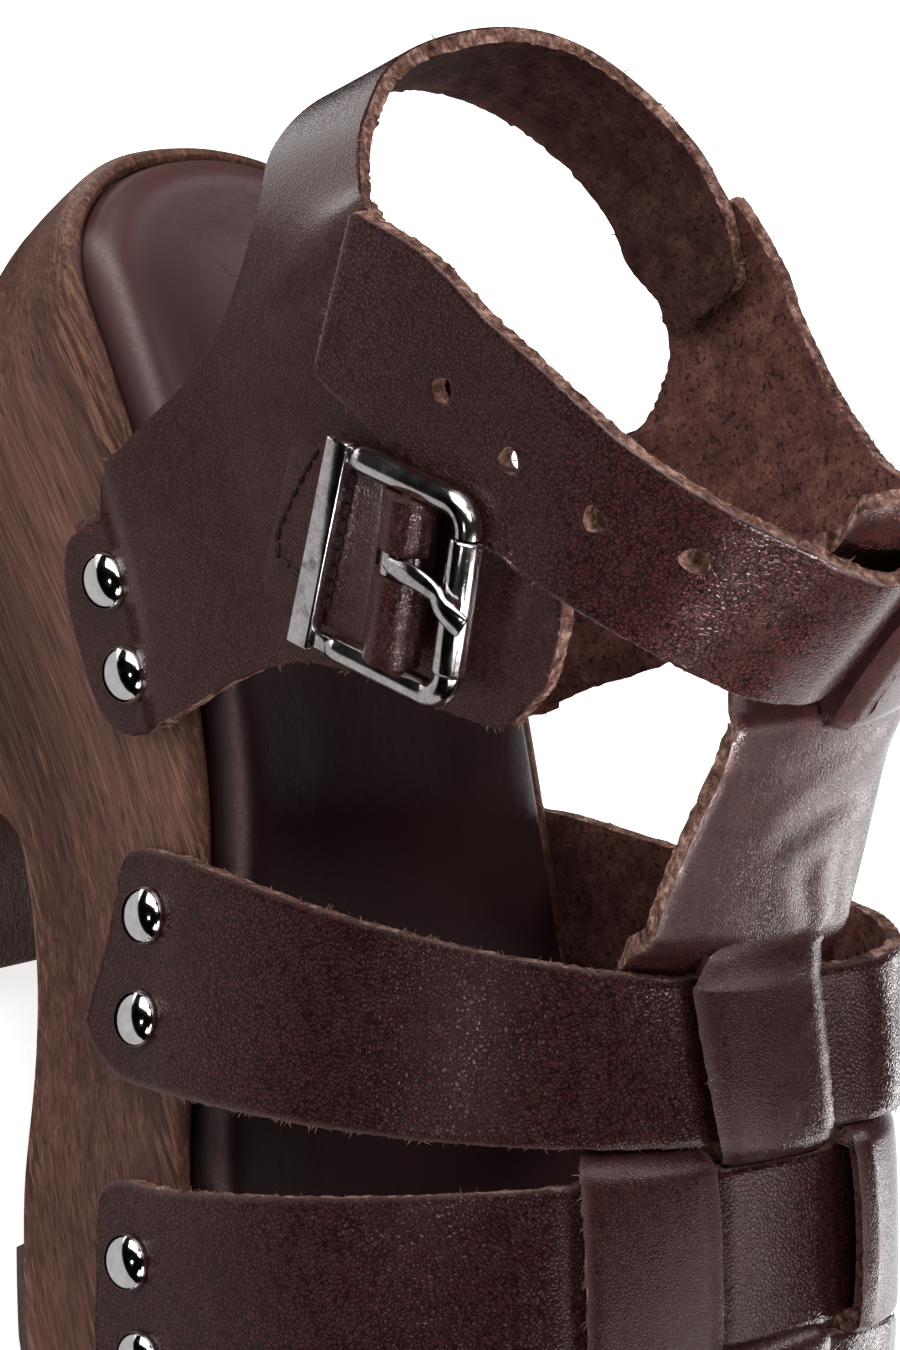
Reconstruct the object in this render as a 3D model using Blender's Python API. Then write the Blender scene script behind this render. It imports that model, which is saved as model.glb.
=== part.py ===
"""Block heel clog sandal for the right foot: wooden sole, woven leather upper, unfastened buckle.

Shoe coordinates: x runs from the heel to the toe, y from the outer (lateral) side to the inner
(medial) side, z up from the floor. Tables and sizes are in millimetres, meshes in metres.
"""
import math

import bmesh
import bpy
import numpy as np
from mathutils import Matrix, Vector

# Driving dimensions, in millimetres and degrees
MM = 0.001
GAP = 0.3
LATERAL = -1
MEDIAL = 1

SOLE_BACK = -2.2
SOLE_FRONT = 236.0
TOE_TIP_Y = 8.0
HEEL_TIP_Y = -7.0
HEEL_CORNER = {LATERAL: 20.0, MEDIAL: 34.0}
HEEL_CORNER_GROWTH = 12.0
TOE_CORNER = 40.0
HEEL_SQUARENESS = {LATERAL: 2.4, MEDIAL: 2.0}
TOE_SQUARENESS = 2.3
HEEL_BACK_TAPER = 18.0
HEEL_RIM_SHARE = 0.74
HEEL_SIDE_TAPER = 3.0
HEEL_TAPER_ENDS = (72.0, 118.0)
TOE_SPRING = 11.0
TOE_SPRING_START = 188.0
RECESS_DEPTH = 2.6
GROOVE_INSET = 3.8
SOLE_STEPS = 40

LIFT_THICKNESS = 4.0
RUBBER_EDGE = 0.6
LIFT_FRONT = 85.0
OUTSOLE_BACK = 122.0
ARCH_PEAK_ROW = 5

LEATHER = 2.2
QUARTER_Y = -32.0
FLANGE_DROP = 12.5
FLANGE_END = 4.5
FLANGE_NARROWING = 5.5
STUD_DROP = 6.5
STUD_RADIUS = 3.75
STUD_HEIGHT = 2.4
STUD_SEGMENTS = 14
STUD_PROFILE = ((0.94, 0.0), (1.0, 0.15), (0.9, 0.5), (0.6, 0.83))
STUD_SPACING = 11.7
STUD_GAP = 0.5

BUCKLE_PIVOT = (70.0, 117.2)
BUCKLE_RISE = 50.6
BUCKLE_WIDTH = 27.0
KEEPER_REACH = 15.0
ROLLER_REACH = 10.0
KEEPER_SIZE = (4.6, 1.7)
KEEPER_LIFT = 0.6
RAIL_RADIUS = 1.5
BAR_RADIUS = 1.2
BAR_CLEARANCE = 0.3
FRAME_STANDOFF = 4.9
ROLLER_RADIUS = 2.2
PRONG_WIDTH = 3.0
PRONG_THICKNESS = 1.7
PRONG_EYE_WALL = 1.2
PRONG_OVERHANG = 5.0
TAB_WIDTH = 18.0
TAB_BACK = 22.0
TAB_THICKNESS = 3.6
TAB_FOLD_RADIUS = 3.4
TAB_SLOT_BACK = 6.0
TAB_PINCH = 11.0

# Sole rim, heel to toe: half-widths of the wood to each side, and the height of the rim
SOLE_ROWS = (
    # x, lateral, medial, rim
    (-6, 31.0, 29.0, 71.2),
    (12, 31.4, 29.6, 71.1),
    (35, 31.2, 29.8, 70.3),
    (52, 30.8, 29.6, 68.6),
    (69, 30.8, 29.6, 64.8),
    (84, 31.8, 30.4, 60.2),
    (100, 34.4, 32.6, 53.4),
    (116, 37.8, 35.6, 45.9),
    (130, 39.4, 38.2, 40.4),
    (146, 40.0, 40.0, 35.8),
    (165, 40.2, 40.8, 32.2),
    (190, 38.6, 40.4, 30.6),
    (212, 34.5, 38.0, 32.4),
    (236, 28.0, 33.0, 38.0),
)

# Levels of the wood from the floor up: how far each is drawn in, its share of the height from the
# underside to the rim, its drop below that, and its share of the heel's taper and corner rounding
WOOD_LEVELS = (
    # inset, share, drop, taper, rounding
    (1.2, 0.0, 0.0, 1.0, 1.0),
    (0.3, 0.025, 0.0, 0.97, 1.0),
    (0.0, 0.35, 0.0, 0.58, 1.0),
    (0.0, 0.6, 0.0, 0.28, 0.92),
    (0.0, 0.74, 0.0, 0.11, 0.8),
    (0.0, 1.0, 4.8, 0.0, 0.6),
    (0.5, 1.0, 2.2, 0.0, 0.45),
    (1.3, 1.0, 0.7, 0.0, 0.25),
    (2.3, 1.0, 0.0, 0.0, 0.1),
    (3.2, 1.0, 0.3, 0.0, 0.0),
    (GROOVE_INSET, 1.0, 1.1, 0.0, 0.0),
    (GROOVE_INSET, 1.0, RECESS_DEPTH, 0.0, 0.0),
)

# Levels of the insole from its underside over the rolled edge to the dished middle
INSOLE_LEVELS = (
    # inset from the edge of the bed, rise above the rim
    (0.3, GAP - RECESS_DEPTH),
    (0.0, -1.0),
    (0.3, 0.8),
    (1.3, 2.4),
    (3.0, 3.3),
    (5.5, 3.6),
    (10.0, 3.1),
    (16.0, 2.4),
)

# Hollow under the sole, from the foot of the heel's front face, up and forward to the ball
ARCH_ROWS = (
    # x, z
    (86.0, 4.0),
    (79.0, 7.6),
    (73.0, 12.4),
    (69.2, 17.8),
    (68.6, 22.0),
    (72.0, 24.8),
    (75.6, 25.1),
    (89.0, 22.9),
    (97.0, 20.9),
    (106.0, 17.8),
    (116.0, 13.6),
    (122.0, 11.2),
    (128.0, 8.8),
    (132.5, 7.0),
    (141.0, 4.9),
    (153.0, 3.7),
)

# Edges of the woven front, toe to ankle, each an arch from the sole over the crown of the foot
VAMP_ROWS = (
    # edge, cells to next row, lateral foot x, medial foot x, crown x, y, z, stem left y, stem right y
    ("strap 3 front", 3, 190.0, 192.0, 187.0, 9.0, 78.0, -17.0, 23.0),
    ("strap 3 back", 1, 162.5, 166.0, 168.2, 10.0, 91.4, -17.5, 23.5),
    ("strap 2 front", 3, 152.5, 156.0, 166.4, 10.0, 92.6, -17.5, 23.5),
    ("strap 2 back", 1, 124.0, 128.0, 146.8, 10.0, 103.4, -17.5, 24.0),
    ("strap 1 front", 3, 113.0, 117.0, 144.6, 10.0, 104.8, -17.0, 24.0),
    ("strap 1 back", 3, 86.5, 92.0, 126.4, 9.0, 113.0, -12.5, 21.5),
    ("T-strap low", 2, 76.0, 80.0, 115.4, 6.0, 122.4, -10.5, 18.5),
    ("T-strap mid", 3, 66.0, 70.0, 104.6, 4.0, 134.2, -10.0, 17.0),
    ("T-strap high", 2, 56.0, 60.0, 95.2, 2.0, 152.0, -11.0, 16.0),
    ("T-strap top", 0, 50.0, 54.0, 85.5, 1.0, 178.0, -13.0, 15.5),
)
MEDIAL_FULLNESS = 2.7
STRAP_STUDS = (
    # strap, lateral centre x, medial centre x
    ("strap1", 97.2, 104.0),
    ("strap2", 136.5, 141.0),
    ("strap3", 175.5, 178.5),
)
QUARTER_STUDS = (56.7, 64.0)

# Band of the ankle, from the lateral quarter's front wing round the heel to the inner quarter,
# then on as the ankle strap through the T-strap to its loose end: low and high edge of each section
BAND_ROWS = (
    # section, low x, low y, low z, high x, high y, high z
    ("wing tip", 91.2, -31.6, 119.5, 88.6, -31.6, 129.0),
    ("wing", 84.5, -31.8, 109.5, 81.0, -31.9, 136.0),
    ("wing root", 75.5, -32.0, 97.5, 73.0, -32.0, 134.6),
    ("quarter front", 70.4, -32.2, 84.0, 66.0, -32.0, 133.4),
    ("foot front", 69.6, -32.3, 56.5, 60.5, -32.0, 132.4),
    ("foot middle", 57.0, -32.3, 52.6, 52.0, -32.0, 131.2),
    ("foot back", 43.6, -32.5, 58.5, 43.5, -32.0, 130.0),
    ("quarter back", 38.0, -32.6, 73.0, 37.0, -32.0, 129.2),
    ("quarter waist", 34.4, -32.2, 88.0, 32.0, -31.8, 128.4),
    ("quarter rise", 29.0, -31.6, 98.5, 26.5, -31.4, 127.0),
    ("sling side", 20.5, -29.2, 106.0, 24.0, -28.0, 123.5),
    ("sling corner", 12.0, -21.8, 105.0, 15.5, -21.5, 121.0),
    ("sling back", 6.2, -9.5, 103.8, 7.4, -10.5, 119.5),
    ("sling middle", 5.0, 5.0, 104.2, 5.4, 4.5, 120.4),
    ("sling inner", 9.8, 17.0, 104.6, 9.2, 15.5, 122.6),
    ("sling inner side", 20.0, 25.6, 106.2, 18.8, 23.0, 125.0),
    ("inner rise", 33.5, 29.2, 107.4, 32.2, 27.8, 127.2),
    ("inner waist", 46.2, 30.2, 105.4, 44.0, 29.2, 129.0),
    ("inner back", 52.4, 31.0, 93.6, 53.0, 29.4, 130.0),
    ("inner foot back", 50.6, 31.3, 60.5, 60.0, 29.0, 131.4),
    ("inner foot middle", 63.0, 31.3, 51.4, 66.0, 28.0, 134.0),
    ("inner foot front", 76.4, 31.5, 53.5, 71.5, 26.4, 137.4),
    ("inner front", 79.0, 31.0, 74.0, 76.0, 24.6, 142.2),
    ("inner wing root", 82.0, 29.4, 99.0, 80.2, 21.8, 148.8),
    ("inner wing", 87.0, 26.6, 118.0, 83.8, 17.6, 155.6),
    ("under the T-strap", 92.6, 21.4, 132.0, 86.4, 13.0, 161.4),
    ("slit inside", 96.0, 13.0, 139.0, 87.6, 7.5, 164.4),
    ("slit outside", 99.0, 1.0, 142.5, 90.6, -1.5, 166.0),
    ("over the T-strap", 99.6, -9.0, 143.4, 91.6, -10.5, 166.2),
    ("over the edge", 96.2, -22.0, 146.0, 86.6, -20.5, 165.6),
    ("strap shoulder", 89.4, -31.0, 144.6, 79.6, -28.8, 163.0),
    ("strap side", 82.2, -34.2, 139.6, 70.2, -33.4, 157.6),
    ("strap over wing", 72.6, -34.5, 131.6, 58.4, -34.5, 150.6),
    ("strap over quarter", 61.6, -34.5, 124.6, 47.4, -34.6, 143.4),
    ("strap tail", 51.0, -34.6, 118.2, 36.6, -34.7, 137.2),
    ("strap end", 42.4, -34.9, 112.8, 27.4, -34.8, 128.4),
)
BAND_STEPS = 2
BAND_CELLS = 6

COLOURS = {
    # piece: base colour, roughness, metallic
    "wood": ((0.20, 0.095, 0.055, 1.0), 0.5, 0.0),
    "rubber": ((0.05, 0.03, 0.025, 1.0), 0.8, 0.0),
    "insole": ((0.10, 0.055, 0.05, 1.0), 0.45, 0.0),
    "leather": ((0.055, 0.035, 0.035, 1.0), 0.5, 0.0),
    "metal": ((0.42, 0.39, 0.40, 1.0), 0.3, 1.0),
    "stud": ((0.30, 0.27, 0.27, 1.0), 0.25, 1.0),
}


def clear_scene():
    for old in list(bpy.data.objects):
        bpy.data.objects.remove(old, do_unlink=True)


def material(kind):
    """The piece's own Principled material."""
    found = bpy.data.materials.get(kind)
    if found:
        return found
    colour, roughness, metallic = COLOURS[kind]
    made = bpy.data.materials.new(kind)
    made.use_nodes = True
    shader = made.node_tree.nodes["Principled BSDF"]
    shader.inputs["Base Color"].default_value = colour
    shader.inputs["Roughness"].default_value = roughness
    shader.inputs["Metallic"].default_value = metallic
    return made


def add_object(name, bm, kind):
    """Link a bmesh whose coordinates are millimetres as a named object in metres."""
    bmesh.ops.remove_doubles(bm, verts=bm.verts, dist=0.001)
    bmesh.ops.dissolve_degenerate(bm, edges=bm.edges, dist=0.0005)
    bmesh.ops.recalc_face_normals(bm, faces=bm.faces)
    bmesh.ops.scale(bm, vec=(MM, MM, MM), verts=bm.verts)
    mesh = bpy.data.meshes.new(name)
    bm.to_mesh(mesh)
    bm.free()
    mesh.materials.append(material(kind))
    mesh.shade_smooth()
    mesh.set_sharp_from_angle(angle=math.radians(40))
    made = bpy.data.objects.new(name, mesh)
    bpy.context.collection.objects.link(made)
    return made


def combine(target, tool, operation):
    """Join a tool to the target, or cut it away; the tool is hidden afterwards."""
    step = target.modifiers.new(operation.lower(), "BOOLEAN")
    step.operation = operation
    step.solver = "EXACT"
    step.object = tool
    tool.hide_render = True
    tool.display_type = "WIRE"


def smooth_through(xs, values):
    """Cubic curve through the values at xs, held level beyond both ends."""
    xs = np.asarray(xs, float)
    values = np.asarray(values, float)
    slopes = np.gradient(values, xs)

    def at(x):
        x = float(np.clip(x, xs[0], xs[-1]))
        i = min(int(np.searchsorted(xs, x, side="right")) - 1, len(xs) - 2)
        span = xs[i + 1] - xs[i]
        t = (x - xs[i]) / span
        low = values[i] * (1 + 2 * t) * (1 - t) ** 2 + slopes[i] * span * t * (1 - t) ** 2
        high = values[i + 1] * t * t * (3 - 2 * t) - slopes[i + 1] * span * t * t * (1 - t)
        return low + high

    return at


def ease(t):
    t = min(max(t, 0.0), 1.0)
    return t * t * (3 - 2 * t)


SOLE_X = [row[0] for row in SOLE_ROWS]
lateral_width = smooth_through(SOLE_X, [row[1] for row in SOLE_ROWS])
medial_width = smooth_through(SOLE_X, [row[2] for row in SOLE_ROWS])
rim_height = smooth_through(SOLE_X, [row[3] for row in SOLE_ROWS])


def toe_spring(x):
    """Rise of the underside ahead of the ball."""
    run = max(x - TOE_SPRING_START, 0.0) / (SOLE_FRONT - TOE_SPRING_START)
    return TOE_SPRING * run * run


def wood_bottom(x):
    """Underside of the wood where it meets the outsole or the top lift."""
    return LIFT_THICKNESS + GAP + toe_spring(x)


def heel_share(x):
    """One along the heel, fading to nothing at the ball."""
    start, end = HEEL_TAPER_ENDS
    return 1 - ease((x - start) / (end - start))


def end_factor(run, corner, squareness):
    """Share of the full width at a distance from a rounded end."""
    if run >= corner:
        return 1.0
    return max(1 - (1 - max(run, 0.0) / corner) ** squareness, 0.0) ** (1 / squareness)


def sole_edge(x, side, inset, back, rounding):
    """y of the sole's outline at x, drawn in by an inset, with the heel's back at the given x.

    rounding, from 0 to 1, widens the heel's lateral corner.
    """
    width = lateral_width(x) if side == LATERAL else medial_width(x)
    corner = max(HEEL_CORNER[side] - 0.6 * inset, 5.0)
    if side == LATERAL:
        corner += HEEL_CORNER_GROWTH * rounding
    heel = end_factor(x - back, corner, HEEL_SQUARENESS[side])
    toe = end_factor(SOLE_FRONT - inset - x, TOE_CORNER - 0.5 * inset, TOE_SQUARENESS)
    centre = TOE_TIP_Y * ease((x - SOLE_FRONT + 2 * TOE_CORNER) / (2 * TOE_CORNER))
    centre += HEEL_TIP_Y * ease(1 - (x - back) / HEEL_CORNER[MEDIAL])
    return centre + (side * max(width - inset, 1.0) - centre) * heel * toe


def sole_ring(inset, height, taper=0.0, rounding=0.0, x_range=None):
    """Both sides of one level of the sole: lateral and medial points from back to front.

    height gives z at an x, taper the share of the heel's taper and rounding that of its corner at
    this level, and x_range a squared-off start or end in place of a rounded one.
    """
    back = SOLE_BACK + HEEL_RIM_SHARE * inset + HEEL_BACK_TAPER * taper
    start, end = back, SOLE_FRONT - inset
    if x_range:
        start = x_range[0] if x_range[0] is not None else back
        end = x_range[1] if x_range[1] is not None else end
    sides = {LATERAL: [], MEDIAL: []}
    for step in range(SOLE_STEPS + 1):
        x = start + (end - start) * (1 - math.cos(math.pi * step / SOLE_STEPS)) / 2
        for side, points in sides.items():
            drawn_in = inset + HEEL_SIDE_TAPER * taper * heel_share(x)
            points.append((x, sole_edge(x, side, drawn_in, back, rounding), height(x)))
    return sides


def loft(name, rings, kind):
    """Closed solid through rings from the bottom up, its two caps laddered across."""
    bm = bmesh.new()
    levels = []
    for ring in rings:
        levels.append({side: [bm.verts.new(p) for p in points] for side, points in ring.items()})
    last = SOLE_STEPS
    for low, high in zip(levels, levels[1:]):
        for i in range(last):
            for side in (LATERAL, MEDIAL):
                bm.faces.new((low[side][i], low[side][i + 1], high[side][i + 1], high[side][i]))
        for i in (0, last):
            bm.faces.new((low[LATERAL][i], low[MEDIAL][i], high[MEDIAL][i], high[LATERAL][i]))
    for level in (levels[0], levels[-1]):
        for i in range(last):
            bm.faces.new((level[LATERAL][i], level[LATERAL][i + 1],
                          level[MEDIAL][i + 1], level[MEDIAL][i]))
    return add_object(name, bm, kind)


def make_wood_sole():
    """One piece of wood: sole and heel, with a rounded rim and a shallow bed for the insole."""
    rings = []
    for inset, share, drop, taper, rounding in WOOD_LEVELS:
        def height(x, share=share, drop=drop):
            return wood_bottom(x) + share * (rim_height(x) - wood_bottom(x)) - drop
        rings.append(sole_ring(inset, height, taper, rounding))
    wood = loft("wood_sole", rings, "wood")
    combine(wood, make_arch_tool(), "DIFFERENCE")
    return wood


def make_arch_tool():
    """Hollow between heel and ball, as a prism across the sole."""
    below_floor = -5.0
    outline = [(ARCH_ROWS[0][0], below_floor), *ARCH_ROWS, (ARCH_ROWS[-1][0], below_floor)]
    return prism("arch_tool", outline, SOLE_FRONT / 2, "wood")


def make_insole():
    """Padded leather sock in the bed of the wood, with a rolled edge and a dished middle."""
    rings = []
    for inset, rise in INSOLE_LEVELS:
        def height(x, rise=rise):
            return rim_height(x) + rise
        rings.append(sole_ring(GROOVE_INSET + GAP + inset, height))
    return loft("insole", rings, "insole")


def make_top_lift():
    """Rubber top piece under the heel, with its lower edge taken off."""
    rings = []
    for inset, z in ((1.9, 0.0), (1.4, RUBBER_EDGE), (1.4, LIFT_THICKNESS)):
        def height(x, z=z):
            return z
        rings.append(sole_ring(inset, height, taper=1.0, rounding=1.0, x_range=(None, LIFT_FRONT)))
    return loft("heel_top_lift", rings, "rubber")


def forefoot_underside(x):
    """Underside of the wood ahead of the arch's highest point."""
    front = ARCH_ROWS[ARCH_PEAK_ROW:]
    arch = np.interp(x, [row[0] for row in front], [row[1] for row in front])
    return max(arch, wood_bottom(x))


def make_outsole():
    """Rubber sheet under the forefoot, starting at the ball side of the arch."""
    total = LIFT_THICKNESS + GAP
    rings = []
    for inset, drop in ((2.2, total), (1.7, total - RUBBER_EDGE), (1.7, GAP)):
        def height(x, drop=drop):
            return max(forefoot_underside(x) - drop, total - drop)
        rings.append(sole_ring(inset, height, x_range=(OUTSOLE_BACK, None)))
    return loft("outsole_forefoot", rings, "rubber")


def wall(name, grid, present, kind):
    """Leather wall of constant thickness on a grid of middle points; absent cells are openings."""
    points = np.asarray(grid, float)
    along = np.gradient(points, axis=0)
    across = np.gradient(points, axis=1)
    normals = np.cross(along, across)
    normals /= np.linalg.norm(normals, axis=2, keepdims=True)
    bm = bmesh.new()
    corners = {}

    def vert(i, j, face):
        if (i, j, face) not in corners:
            corners[i, j, face] = bm.verts.new(points[i, j] + face * 0.5 * LEATHER * normals[i, j])
        return corners[i, j, face]

    rows, columns = points.shape[0] - 1, points.shape[1] - 1
    filled = {(i, j) for i in range(rows) for j in range(columns) if present(i, j)}
    for i, j in filled:
        loop = ((i, j), (i + 1, j), (i + 1, j + 1), (i, j + 1))
        bm.faces.new([vert(*c, 1) for c in loop])
        bm.faces.new([vert(*c, -1) for c in reversed(loop)])
        beside = ((i, j - 1), (i + 1, j), (i, j + 1), (i - 1, j))
        for k, neighbour in enumerate(beside):
            if neighbour not in filled:
                a, b = loop[k], loop[(k + 1) % 4]
                bm.faces.new((vert(*a, 1), vert(*a, -1), vert(*b, -1), vert(*b, 1)))
    return add_object(name, bm, kind)


def rows_between(rows, counts):
    """Rows of numbers with counts[i] - 1 smooth rows added after row i."""
    rows = np.asarray(rows, float)
    stations = np.concatenate(([0.0], np.cumsum([float(c) for c in counts])))
    curves = [smooth_through(stations, rows[:, k]) for k in range(rows.shape[1])]
    return [[curve(s) for curve in curves] for s in np.arange(stations[-1] + 1)]


def strap_root(x, side):
    """Middle of the leather where it stands against the wood, at rim height."""
    width = lateral_width(x) if side == LATERAL else medial_width(x)
    return Vector((x, side * (width + GAP + LEATHER / 2), rim_height(x)))


ARCH_CELLS = 8
STEM_CELLS = 6


def arch_point(root, crown, angle):
    """Point of an arch that stands upright at the root and lies level at the crown."""
    power = 2 / MEDIAL_FULLNESS if root.y > crown.y else 1.0
    rise = math.sin(angle) ** power
    reach = max(math.cos(angle), 0.0) ** power
    return Vector((root.x + (crown.x - root.x) * rise,
                   crown.y + (root.y - crown.y) * reach,
                   root.z + (crown.z - root.z) * rise))


def angle_at(root, crown, y):
    """Angle of the arch's point that lies at the given y."""
    power = 2 / MEDIAL_FULLNESS if root.y > crown.y else 1.0
    return math.acos(((y - crown.y) / (root.y - crown.y)) ** (1 / power))


def vamp_section(numbers, narrowing):
    """One arch of the woven front, from the lateral flange over the crown to the medial flange."""
    lateral_x, medial_x, crown_x, crown_y, crown_z, stem_left, stem_right = numbers
    crown = Vector((crown_x, crown_y, crown_z))
    roots = {LATERAL: strap_root(lateral_x, LATERAL), MEDIAL: strap_root(medial_x, MEDIAL)}
    sides = {}
    for side, stem_y in ((LATERAL, stem_left), (MEDIAL, stem_right)):
        root = roots[side]
        points = []
        for drop, pull in ((FLANGE_DROP, narrowing), (FLANGE_DROP - FLANGE_END, 0.25 * narrowing)):
            flange = strap_root(root.x + pull, side)
            points.append(Vector((flange.x, flange.y, flange.z - drop)))
        stem_angle = angle_at(root, crown, stem_y)
        for k in range(ARCH_CELLS + 1):
            points.append(arch_point(root, crown, stem_angle * k / ARCH_CELLS))
        sides[side] = points
    middle = []
    for k in range(1, STEM_CELLS):
        y = stem_left + (stem_right - stem_left) * k / STEM_CELLS
        root = roots[LATERAL if y < crown_y else MEDIAL]
        middle.append(arch_point(root, crown, angle_at(root, crown, y)))
    return sides[LATERAL] + middle + list(reversed(sides[MEDIAL]))


def vamp_grid():
    """Rows of arch sections from the toe strap to the top of the T-strap, and each row's kind."""
    counts = [row[1] for row in VAMP_ROWS[:-1]]
    sections = rows_between([row[2:] for row in VAMP_ROWS], counts)
    kinds = []
    for name, cells in zip([row[0] for row in VAMP_ROWS], counts):
        kinds += ["strap" if name.endswith("front") else "gap"] * cells
    grid = []
    for i, numbers in enumerate(sections):
        starts = i < len(kinds) and kinds[i] == "strap" and kinds[i - 1] != "strap"
        ends = i > 0 and kinds[i - 1] == "strap" and kinds[i] != "strap"
        grid.append(vamp_section(numbers, FLANGE_NARROWING * (int(ends) - int(starts))))
    return grid, kinds


def make_vamp():
    """Three cross straps and the T-strap, woven into one wall at the middle."""
    grid, kinds = vamp_grid()
    side_cells = ARCH_CELLS + 2

    def present(i, j):
        in_stem = side_cells <= j < side_cells + STEM_CELLS
        return in_stem or kinds[i] == "strap"

    return wall("vamp_tool", grid, present, "leather")


def band_grid():
    """Sections of the ankle band, low edge to high edge."""
    sections = rows_between([row[1:] for row in BAND_ROWS], [BAND_STEPS] * (len(BAND_ROWS) - 1))
    grid = []
    for numbers in sections:
        low, high = Vector(numbers[:3]), Vector(numbers[3:])
        grid.append([low.lerp(high, k / BAND_CELLS) for k in range(BAND_CELLS + 1)])
    return grid


def make_upper():
    """Ankle band and woven front joined where the strap runs through the T-strap."""
    upper = wall("upper", band_grid(), lambda i, j: True, "leather")
    combine(upper, make_vamp(), "UNION")
    return upper


def make_studs():
    """Domed nails, two at each strap end, standing on the leather over the wood."""
    dome = stud_mesh()
    places = []
    for name, lateral_x, medial_x in STRAP_STUDS:
        places += [(name, LATERAL, lateral_x), (name, MEDIAL, medial_x)]
    places += [("quarter", LATERAL, QUARTER_STUDS[0]), ("quarter", MEDIAL, QUARTER_STUDS[1])]
    for name, side, centre in places:
        for letter, shift in (("a", -0.5), ("b", 0.5)):
            root = strap_root(centre + shift * STUD_SPACING, side)
            ahead = strap_root(root.x + 1.0, side)
            outward = Vector((0, side, 0)) - Vector((side * (ahead.y - root.y), 0, 0))
            outward.normalize()
            seat = root + outward * (LEATHER / 2 + STUD_GAP) - Vector((0, 0, STUD_DROP))
            word = "lateral" if side == LATERAL else "medial"
            stud = bpy.data.objects.new(f"stud_{name}_{word}_{letter}", dome)
            bpy.context.collection.objects.link(stud)
            stud.location = seat * MM
            stud.rotation_mode = "QUATERNION"
            stud.rotation_quaternion = outward.to_track_quat("Z", "X")


def stud_mesh():
    """Dome on a short cylinder, its base at the origin and its top along +Z."""
    bm = bmesh.new()
    rings = []
    for radius_share, height_share in STUD_PROFILE:
        outline = circle(STUD_RADIUS * radius_share, segments=STUD_SEGMENTS)
        rings.append([bm.verts.new((x, y, STUD_HEIGHT * height_share)) for x, y in outline])
    top = bm.verts.new((0, 0, STUD_HEIGHT))
    bm.faces.new(list(reversed(rings[0])))
    for k in range(STUD_SEGMENTS):
        n = (k + 1) % STUD_SEGMENTS
        for low, high in zip(rings, rings[1:]):
            bm.faces.new((low[k], low[n], high[n], high[k]))
        bm.faces.new((rings[-1][k], rings[-1][n], top))
    sample = add_object("stud_sample", bm, "stud")
    mesh = sample.data
    bpy.data.objects.remove(sample)
    mesh.name = "stud_dome"
    return mesh


def buckle_frame_matrix():
    """Local axes of the buckle: x along the strap to the roller, y across it, z out of the shoe."""
    rise = math.radians(BUCKLE_RISE)
    along = Vector((math.cos(rise), 0, math.sin(rise)))
    outward = Vector((0, -1, 0))
    across = outward.cross(along)
    origin = Vector((BUCKLE_PIVOT[0], QUARTER_Y - LEATHER / 2 - FRAME_STANDOFF, BUCKLE_PIVOT[1]))
    turn = Matrix((along, across, outward)).transposed().to_4x4()
    return Matrix.Translation(origin * MM) @ turn


def prism(name, outline, half_width, kind):
    """Outline in the local x-z plane, extruded to both sides along the local y axis."""
    bm = bmesh.new()
    near = [bm.verts.new((x, -half_width, z)) for x, z in outline]
    far = [bm.verts.new((x, half_width, z)) for x, z in outline]
    bm.faces.new(near)
    bm.faces.new(list(reversed(far)))
    for i in range(len(outline)):
        j = (i + 1) % len(outline)
        bm.faces.new((near[i], far[i], far[j], near[j]))
    return add_object(name, bm, kind)


def circle(radius, x=0.0, z=0.0, segments=20):
    angles = [2 * math.pi * k / segments for k in range(segments)]
    return [(x + radius * math.cos(a), z + radius * math.sin(a)) for a in angles]


def make_buckle():
    """Rolled frame with a keeper bar, a pivot bar and a roller bar, and the pieces that ride on it."""
    placement = buckle_frame_matrix()
    half = BUCKLE_WIDTH / 2
    inner = half - 2 * RAIL_RADIUS
    keeper_long, keeper_thick = KEEPER_SIZE
    keeper_outline = [(-KEEPER_REACH + sx * keeper_long / 2, sz * keeper_thick / 2 + KEEPER_LIFT)
                      for sx, sz in ((-1, -1), (1, -1), (1, 1), (-1, 1))]
    frame = prism("buckle_frame", keeper_outline, half, "metal")
    for side in (-1, 1):
        rail_length = KEEPER_REACH + ROLLER_REACH
        bm = bmesh.new()
        bmesh.ops.create_cone(bm, cap_ends=True, segments=12, radius1=RAIL_RADIUS, radius2=RAIL_RADIUS,
                              depth=rail_length + RAIL_RADIUS,
                              matrix=Matrix.Translation((-KEEPER_REACH + rail_length / 2, 0, 0))
                              @ Matrix.Rotation(math.pi / 2, 4, "Y"))
        bmesh.ops.translate(bm, vec=(0, side * (half - RAIL_RADIUS), 0), verts=bm.verts)
        rail = add_object(f"rail_tool_{'low' if side < 0 else 'high'}", bm, "metal")
        rail.matrix_world = placement
        combine(frame, rail, "UNION")
    for name, x in (("pivot", 0.0), ("roller", ROLLER_REACH)):
        bar = prism(f"{name}_bar_tool", circle(BAR_RADIUS, x, 0.0, 12), inner + RAIL_RADIUS, "metal")
        bar.matrix_world = placement
        combine(frame, bar, "UNION")
    frame.matrix_world = placement

    roller = make_tube("buckle_roller", ROLLER_RADIUS, BAR_RADIUS + BAR_CLEARANCE, inner - GAP)
    roller.matrix_world = placement @ Matrix.Translation((ROLLER_REACH * MM, 0, 0))
    make_prong(placement)
    make_tab(placement)


def make_tube(name, outer, bore, half_width):
    """Tube along the local y axis."""
    bm = bmesh.new()
    loops = []
    for radius, y in ((outer, -half_width), (outer, half_width), (bore, half_width), (bore, -half_width)):
        loops.append([bm.verts.new((px, y, pz)) for px, pz in circle(radius)])
    for a, b in zip(loops, loops[1:] + loops[:1]):
        for k in range(len(a)):
            n = (k + 1) % len(a)
            bm.faces.new((a[k], a[n], b[n], b[k]))
    return add_object(name, bm, "metal")


def prong_eye_radius():
    return BAR_RADIUS + BAR_CLEARANCE + PRONG_EYE_WALL


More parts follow.
